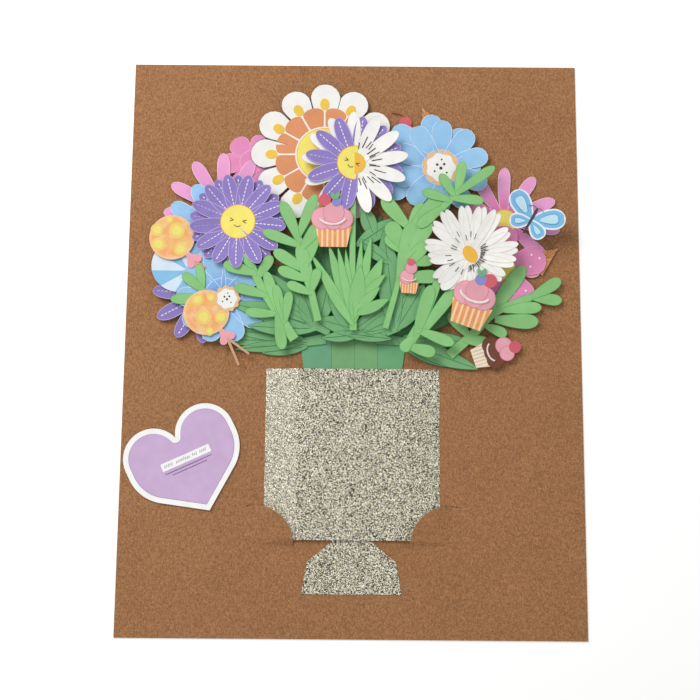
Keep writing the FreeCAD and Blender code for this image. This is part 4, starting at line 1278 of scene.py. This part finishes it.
def ball_reach(centre, radius, pole, angle):
    """Distance from a pole inside a circle to its rim in one direction."""
    off = Vector(pole) - Vector(centre)
    way = Vector((math.cos(angle), math.sin(angle)))
    b = off.dot(way)
    return -b + math.sqrt(b * b + radius * radius - off.length_squared)


class CARD_OT_cones_and_cherry(bpy.types.Operator):
    """Waffle cones and the cherry that peep out behind the flowers"""
    bl_idname = "card.cones_and_cherry"
    bl_label = "Cones and cherry"

    def execute(self, context):
        waffle = plain("printed_waffle_tan", "#DD9C6A")
        scoop = plain("printed_scoop_pink", "#F2B3C0")
        lattice = shared_material("printing_ink_tan", ink_line, linear("#B3713F"))
        for name, (x, y, turn) in CONES.items():
            sheet = Sheet(node_level(name))
            sheet.blade((x, y), at((x, y), turn, 13), 12, lambda s: max(0.03, s), rise=0.05)
            sheet.disc(at((x, y), turn, 14.5), 5, slot=1, rise=0.08, sectors=24)
            sheet.make(f"{name}_paper", [waffle, scoop], [name])
            lines = []
            for k in range(1, 6):
                for side in (-1, 1):
                    near = turned((2.6 * k - 1.2, side * (2.6 * k - 1.2) * 0.42), turn, (x, y))
                    far = turned((min(12.6, 2.6 * k + 4.5), -side * (2.6 * k - 3.5) * 0.42),
                                 turn, (x, y))
                    lines.append([near + (0.1,), far + (0.1,)])
            strokes(f"{name}_lattice", lines, sheet, lattice)
        name = "cherry"
        x, y = 22.8, 100
        sheet = Sheet(node_level(name))
        sheet.disc((x + 0.6, y - 4.4), 3.4, slot=1, rise=0.04, sectors=24)
        sheet.disc((x, y), 2.9, rise=0.08, sectors=24)
        stem = smooth_path([(x, y + 2.5), (20.6, 104.2), (16.5, 105)], 8)
        sheet.ribbon(stem, 0.7, slot=2, rise=0.12, steps=8)
        berry = plain("printed_berry_red", "#DC6675")
        stalk = plain("printed_stalk_brown", "#A0673F")
        sheet.make(f"{name}_paper", [berry, scoop, stalk], [name])
        return {"FINISHED"}


class CARD_OT_butterfly(bpy.types.Operator):
    """Light blue butterfly with a white rim and a dark body"""
    bl_idname = "card.butterfly"
    bl_label = "Butterfly"

    def execute(self, context):
        name = "butterfly"
        x, y, turn = 77.2, 52.7, -30
        sky = shared_material("offset_printed_paper_sky", printed_paper, linear("#86C3EC"),
                              rim=linear("#F2F8FC"), rim_mm=0.7)
        pale = plain("printed_wing_spot", "#C9ECF8", rim=linear("#5FA6DC"), rim_mm=0.35)
        body = plain("printed_body_dark", "#54454A")
        fold = lambda px, py: 0.12 * abs(turned((px - x, py - y), -turn, (0, 0))[0])
        sheet = Sheet(node_level(name), fold)
        for side in (-1, 1):
            for length, angle, share, spot in ((15.2, 33, 0.6, 10), (9.4, -30, 0.7, 6)):
                lean = turn + (angle if side > 0 else 180 - angle)
                sheet.blade((x, y), at((x, y), lean, length), length * share * 1.05,
                            lambda s: round_tip(s, 0.66, 0.3), rise=0.05 if angle > 0 else 0.1)
                sheet.blade(at((x, y), lean, spot * 0.42), at((x, y), lean, spot * 1.22),
                            length * 0.32, paddle, slot=1, rise=0.2)
        head, foot = turned((0, 6.2), turn, (x, y)), turned((0, -6.4), turn, (x, y))
        sheet.blade(foot, head, 1.3, lambda s: 0.6 + 0.4 * s if s < 0.9 else 0.75, slot=2,
                    rise=0.3)
        sheet.make(f"{name}_paper", [sky, pale, body], [name])
        feelers = []
        for end in ((76.5, 59.4), (82.8, 56.4)):
            path = smooth_path([head, ((head[0] + end[0]) / 2, (head[1] + end[1]) / 2 + 0.7), end],
                               6)
            feelers.append([(p[0], p[1], 0.4) for p in path])
        strokes(f"{name}_feelers", feelers, sheet, dark_ink())
        return {"FINISHED"}


# Card, vase, collar and tag

# Each lower corner of the vase slips under the card through a curved slit.
# Its painted shadow is a dark line between two directions, in degrees, where the card isn't bowed.
SLIT = {"x": 41.4, "y": -87.6, "radius": 16.4, "rise": 0.15, "cuts": 96, "shown": (78, 104)}
BOARD_THICK = 0.5 * MM


def ease(value, low, high):
    """Smooth step from 0 at low to 1 at high."""
    t = min(1, max(0, (value - low) / (high - low)))
    return t * t * (3 - 2 * t)


def card_bow(x, y):
    """How far in mm the card is bowed up over the corner of the vase."""
    inward, up = SLIT["x"] - abs(x), y - SLIT["y"]
    angle = math.degrees(math.atan2(up, inward))
    reach = max(0, inward + up) / math.sqrt(2)
    return SLIT["rise"] * reach * ease(angle, -8, 10) * (1 - ease(angle, 68, 104))


class CARD_OT_backing(bpy.types.Operator):
    """Kraft backing card, bowed up along two curved slits over the vase's lower corners"""
    bl_idname = "card.backing"
    bl_label = "Backing card"

    def execute(self, context):
        low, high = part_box("backing_card")
        kraft = kraft_card("kraft_board_uncoated")
        cuts = SLIT["cuts"]
        rings = [[(low.x, low.y), (high.x, low.y), (high.x, high.y), (low.x, high.y)]]
        flaps = Sheet(BOARD_THICK / MM, card_bow)
        for side in (-1, 1):
            centre = (side * SLIT["x"], SLIT["y"])
            rings.append([[v * MM for v in at(centre, 360 / cuts * i, SLIT["radius"])]
                          for i in range(cuts)])
            flaps.disc(centre, SLIT["radius"], rings=14, sectors=cuts)
        shape = bmesh.new()
        shape.from_mesh(flaps.mesh("backing_card_flaps", [kraft]))
        outline = []
        for ring in rings:
            corners = [shape.verts.new((x, y, BOARD_THICK)) for x, y in ring]
            for first, second in zip(corners, corners[1:] + corners[:1]):
                outline.append(shape.edges.new((first, second)))
        bmesh.ops.triangle_fill(shape, use_beauty=True, edges=outline)
        # Flap and card stay one sheet wherever the flap isn't lifted.
        bmesh.ops.remove_doubles(shape, verts=shape.verts, dist=0.004 * MM)
        for face in shape.faces:
            face.smooth = True
            if face.normal.z < 0:
                face.normal_flip()
        mesh = bpy.data.meshes.new("backing_card_kraft")
        shape.to_mesh(mesh)
        shape.free()
        mesh.materials.append(kraft)
        thicken("backing_card_kraft", mesh, BOARD_THICK, ["backing_card"])
        # Painted shadow: a dark ink line along part of each slit, where the cut lies in shade.
        shade = shared_material("cut_edge_in_shade", ink_line, linear("#4A2E1C"))
        first, last = SLIT["shown"]
        angles = [first + (last - first) * i / 8 for i in range(9)]
        lines = [[at((side * SLIT["x"], SLIT["y"]), 90 + side * (90 - angle), SLIT["radius"])
                  + (0.02,) for angle in angles] for side in (-1, 1)]
        strokes("backing_card_painted_slit_shadows", lines, Sheet(BOARD_THICK / MM), shade,
                0.28 * MM)
        return {"FINISHED"}


def paint(node, material):
    """Gives a CAD node that stays in the scene its material."""
    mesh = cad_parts[node].data
    mesh.materials.clear()
    mesh.materials.append(material)


class CARD_OT_vase(bpy.types.Operator):
    """Vase and foot of glitter paper, with loose flakes that catch the light"""
    bl_idname = "card.vase"
    bl_label = "Glitter vase"

    def execute(self, context):
        paint("vase", glitter_paper("glitter_coated_paper"))
        flakes = run_group("vase_glitter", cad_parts["vase"].data.copy(),
                           shared_group("glitter_flakes", flake_group),
                           {"Density": 1.5e6, "Size": 0.17 * MM, "Seed": 7,
                            "Material": glitter_flake("metallised_film_flakes")})
        finish_piece(flakes)
        return {"FINISHED"}


class CARD_OT_collar(bpy.types.Operator):
    """Green collar that carries the bouquet, with dotted folds and painted shade on its facets"""
    bl_idname = "card.collar"
    bl_label = "Collar"

    def execute(self, context):
        colour = linear("#69B079")
        paint("collar", shared_material("offset_printed_paper_collar", printed_paper, colour))
        sheet = Sheet(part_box("collar")[1].z / MM)
        # The facets lie flat; their three greens are painted light and shade for the folded faces.
        facet_shades = [plain(f"offset_printed_paper_facet_{k}", ink) for k, ink in
                 enumerate(("#70AA84", "#7CB078", "#72AE7C"))]
        facets = ((-23.2, -21.4, -9.4, -9.4), (-9.4, -9.4, 10.7, 10.7), (10.7, 10.7, 19.5, 21.4))
        for k, (top_left, low_left, top_right, low_right) in enumerate(facets):
            sheet.panel([(low_left, -12.1), (low_right, -12.1), (top_right, 1.6),
                         (top_left, 1.6)], slot=k, rise=0.03)
        sheet.make("collar_facets_painted_shade", facet_shades, thickness=0.05 * MM)
        score = shared_material("scored_fold_green", ink_line, linear("#3F8657"))
        lines = [[(x, 1 - 1.1 * i, 0.02) for i in range(13)] for x in (-9.4, 0.7, 10.7)]
        dashes("collar_scores", lines, sheet, score,
               sizes().score_pitch, 0.55 * sizes().score_pitch, 0.3 * MM)
        return {"FINISHED"}


HEART = {"x": -74.8, "y": -46.2, "turn": 27, "lobe": 12.9, "spread": 12.3, "cheek": 3.9,
         "side": 18, "tip": 30.8}
HEART_NOTCH = math.sqrt(HEART["lobe"] ** 2 - HEART["spread"] ** 2)
HEART_WIDTH = HEART["spread"] + HEART["lobe"]
# Height on the heart's own axis from which its rings of faces grow
HEART_MIDDLE = -5
LABEL = {"x": -71.7, "y": -51.4, "turn": 24.5, "half_width": 11.2, "half_height": 1.7}


def heart_depth(x, y):
    """How far in mm a point lies inside the outline of the heart."""
    x = abs(x)
    if y > 0:
        lobe = HEART["lobe"] - math.hypot(x - HEART["spread"], y)
        inner = math.hypot(x, HEART_NOTCH - y) if y < HEART_NOTCH and x < HEART["spread"] else -1
        return max(lobe, inner)
    bend_x, bend_y = HEART_WIDTH - HEART["side"], -HEART["cheek"]
    run_x, run_y = -bend_x, -HEART["tip"] - bend_y
    reach = math.hypot(run_x, run_y)
    touch = math.atan2(run_y, run_x) + math.acos(HEART["side"] / reach)
    # The straight part runs from where it touches the side's arc to the tip.
    slope = HEART["side"] - (x - bend_x) * math.cos(touch) - (y - bend_y) * math.sin(touch)
    notch = math.hypot(x, HEART_NOTCH - y)
    if y > bend_y:
        return min(HEART_WIDTH - x, notch)
    angle = math.atan2(y - bend_y, x - bend_x)
    bow = HEART["side"] - math.hypot(x - bend_x, y - bend_y)
    return min(bow if angle > touch else slope, notch)


def heart_reach(angle, margin):
    """Distance from the heart's middle to its outline, less a margin, in one direction."""
    lean = angle - math.radians(HEART["turn"])
    low, high = 0.0, 40.0
    for _ in range(30):
        half = (low + high) / 2
        inside = heart_depth(half * math.cos(lean), HEART_MIDDLE + half * math.sin(lean))
        low, high = (half, high) if inside >= margin else (low, half)
    return low


class CARD_OT_heart_tag(bpy.types.Operator):
    """Lilac heart tag with a white border and a small label with a row of pen strokes"""
    bl_idname = "card.heart_tag"
    bl_label = "Heart tag"

    def execute(self, context):
        place = (HEART["x"], HEART["y"])
        middle = turned((0, HEART_MIDDLE), HEART["turn"], place)
        sheet = Sheet(node_level("heart_tag"),
                      lambda px, py: 0.05 + 0.001 * math.dist((px, py), middle) ** 2)
        start = math.radians(HEART["turn"] - 90)
        sheet.disc(middle, lambda angle: heart_reach(angle, 0), rings=8, sectors=180,
                   start=start, tone=0)
        sheet.disc(middle, lambda angle: heart_reach(angle, 2.3), slot=1, rise=0.05, rings=8,
                   sectors=180, start=start)
        label, lean = (LABEL["x"], LABEL["y"]), LABEL["turn"]
        half, up = LABEL["half_width"], LABEL["half_height"]
        sheet.panel([turned(c, lean, label) for c in
                     ((-half, -up), (half, -up), (half, up), (-half, up))],
                    slot=2, rise=0.1, tone=0, cells=6)
        lilac = shared_material("matt_laminated_card_lilac", printed_paper,
                                tuple(colours().lilac), rim=linear("#9B84AB"), rim_mm=0.2)
        border = shared_material("matt_laminated_card_white", printed_paper, linear("#FFFFFD"))
        label_paper = plain("printed_label_white", "#FDFCFD")
        sheet.make("heart_tag_paper", [border, lilac, label_paper], ["heart_tag"])
        chance = random.Random(5)
        step = 0.42
        script = []
        for start_x, end_x in ((-10, -5.6), (-4.6, 2), (3, 5.4), (6.4, 9.8)):
            count = round((end_x - start_x) / step)
            script.append([turned((start_x + step * i,
                                   (0.75 if i % 2 else -0.55) * chance.uniform(0.4, 1.2)),
                                  lean, label) + (0.12,) for i in range(count)])
        strokes("heart_tag_script", script, sheet,
                shared_material("printing_ink_grey_green", ink_line, linear("#7C8A7E")),
                0.26 * MM)
        rules = [[turned((side * half, -down), lean, label) + (0.1,) for side in (-1, 1)]
                 for down, half in ((3.1, 10.4), (4.5, 7.6))]
        dashes("heart_tag_rules", rules, sheet,
               shared_material("printing_ink_violet", ink_line, linear("#6E5686")),
               0.8 * MM, 0.55 * MM, 0.34 * MM)
        return {"FINISHED"}


# All in metres, except the lens and the sensor in millimetres and the lamp's power in watts
CAMERA = {"place": (-0.00079, -0.06937, 0.45360), "aim": (-0.00132, -0.00368, 0),
          "lens": 53.76, "sensor": 36}
LAMP = {"place": (-0.4, 0.42, 0.6), "size": 0.5, "power": 4.3}
FLOOR = {"half": 1.6, "level": -0.05 * MM}


class CARD_OT_stage(bpy.types.Operator):
    """Pale floor, soft studio light and the camera above the card"""
    bl_idname = "card.stage"
    bl_label = "Stage"

    def execute(self, context):
        scene = context.scene
        half = FLOOR["half"]
        mesh = bpy.data.meshes.new("studio_floor")
        corners = ((-half, -half), (half, -half), (half, half), (-half, half))
        mesh.from_pydata([(x, y, FLOOR["level"]) for x, y in corners], [], [(0, 1, 2, 3)])
        floor = bpy.data.objects.new("studio_floor", mesh)
        scene.collection.objects.link(floor)
        mesh.materials.append(floor_paper("seamless_paper_white"))
        lamp_data = bpy.data.lights.new("window_softbox", "AREA")
        lamp_data.shape = "DISK"
        lamp_data.size = LAMP["size"]
        lamp_data.energy = LAMP["power"]
        lamp = bpy.data.objects.new("window_softbox", lamp_data)
        lamp.location = LAMP["place"]
        lamp.rotation_euler = (-lamp.location).to_track_quat("-Z", "Y").to_euler()
        scene.collection.objects.link(lamp)
        world = bpy.data.worlds.new("studio_world")
        world.use_nodes = True
        tree = world.node_tree
        tree.nodes.clear()
        sky = add_node(tree, "ShaderNodeBackground", {"Color": (1, 1, 1, 1), "Strength": 0.54})
        seen = add_node(tree, "ShaderNodeBackground", {"Color": (1, 1, 1, 1), "Strength": 1.0})
        rays = add_node(tree, "ShaderNodeLightPath")
        pick = add_node(tree, "ShaderNodeMixShader", {0: rays.outputs["Is Camera Ray"],
                                                     1: sky.outputs[0], 2: seen.outputs[0]})
        add_node(tree, "ShaderNodeOutputWorld", {"Surface": pick.outputs[0]})
        scene.world = world
        camera_data = bpy.data.cameras.new("photo_camera")
        camera_data.lens = CAMERA["lens"]
        camera_data.sensor_width = CAMERA["sensor"]
        camera = bpy.data.objects.new("photo_camera", camera_data)
        camera.location = CAMERA["place"]
        aim = Vector(CAMERA["aim"]) - camera.location
        camera.rotation_euler = aim.to_track_quat("-Z", "Y").to_euler()
        scene.collection.objects.link(camera)
        scene.camera = camera
        scene.view_settings.view_transform = "Standard"
        return {"FINISHED"}


def floor_paper(name):
    """Seamless white paper: matt, and shown to the camera a little brighter than it lights."""
    material, tree, shader, coords = start_material(name, 0.9, 0.1)
    cloud = ramp(tree, noise_at(tree, coords, 180).outputs["Fac"], 0.3, 0.7)
    colour = blend_colour(tree, cloud, rgba(linear("#F6F6F5")), rgba(linear("#FBFBFA")))
    tree.links.new(colour, shader.inputs["Base Color"])
    rays = add_node(tree, "ShaderNodeLightPath").outputs
    seen = rays["Is Camera Ray"]
    for kind in ("Is Glossy Ray", "Is Transmission Ray"):
        seen = add_node(tree, "ShaderNodeMath", {0: seen, 1: rays[kind]},
                        operation="MAXIMUM").outputs[0]
    glow = add_node(tree, "ShaderNodeEmission", {"Color": (1, 1, 1, 1), "Strength": 0.22})
    dark = add_node(tree, "ShaderNodeEmission", {"Color": (0, 0, 0, 1), "Strength": 0.0})
    added = add_node(tree, "ShaderNodeMixShader", {0: seen, 1: dark.outputs[0],
                                                  2: glow.outputs[0]})
    both = add_node(tree, "ShaderNodeAddShader", {0: shader.outputs[0], 1: added.outputs[0]})
    output = next(n for n in tree.nodes if n.type == "OUTPUT_MATERIAL")
    tree.links.new(both.outputs[0], output.inputs["Surface"])
    return material


OPERATORS = (
    CARD_OT_backing, CARD_OT_vase, CARD_OT_collar, CARD_OT_heart_tag, CARD_OT_dark_leaves,
    CARD_OT_light_sprigs, CARD_OT_pink_flowers, CARD_OT_ringed_daisy, CARD_OT_blue_daisies,
    CARD_OT_purple_daisies, CARD_OT_crossed_daisies, CARD_OT_white_daisy, CARD_OT_cupcakes,
    CARD_OT_balloons, CARD_OT_cones_and_cherry, CARD_OT_butterfly, CARD_OT_stage,
)


class CARD_PT_panel(bpy.types.Panel):
    """Lists the card's sizes, colours and pieces"""
    bl_idname = "CARD_PT_panel"
    bl_label = "Flower card"
    bl_space_type = "VIEW_3D"
    bl_region_type = "UI"
    bl_category = "Flower card"

    def draw(self, context):
        for group in (context.scene.card_sizes, context.scene.card_colours):
            for name in group.__annotations__:
                self.layout.prop(group, name)
        for operator in OPERATORS:
            self.layout.operator(operator.bl_idname)


CLASSES = (CardColours, CardSizes) + OPERATORS + (CARD_PT_panel,)


def register():
    for each in CLASSES:
        bpy.utils.register_class(each)
    bpy.types.Scene.card_sizes = bpy.props.PointerProperty(type=CardSizes)
    bpy.types.Scene.card_colours = bpy.props.PointerProperty(type=CardColours)


def unregister():
    del bpy.types.Scene.card_sizes
    del bpy.types.Scene.card_colours
    for each in reversed(CLASSES):
        bpy.utils.unregister_class(each)


def main():
    register()
    for operator in OPERATORS:
        group, name = operator.bl_idname.split(".")
        getattr(getattr(bpy.ops, group), name)()


if __name__ == "__main__":
    main()
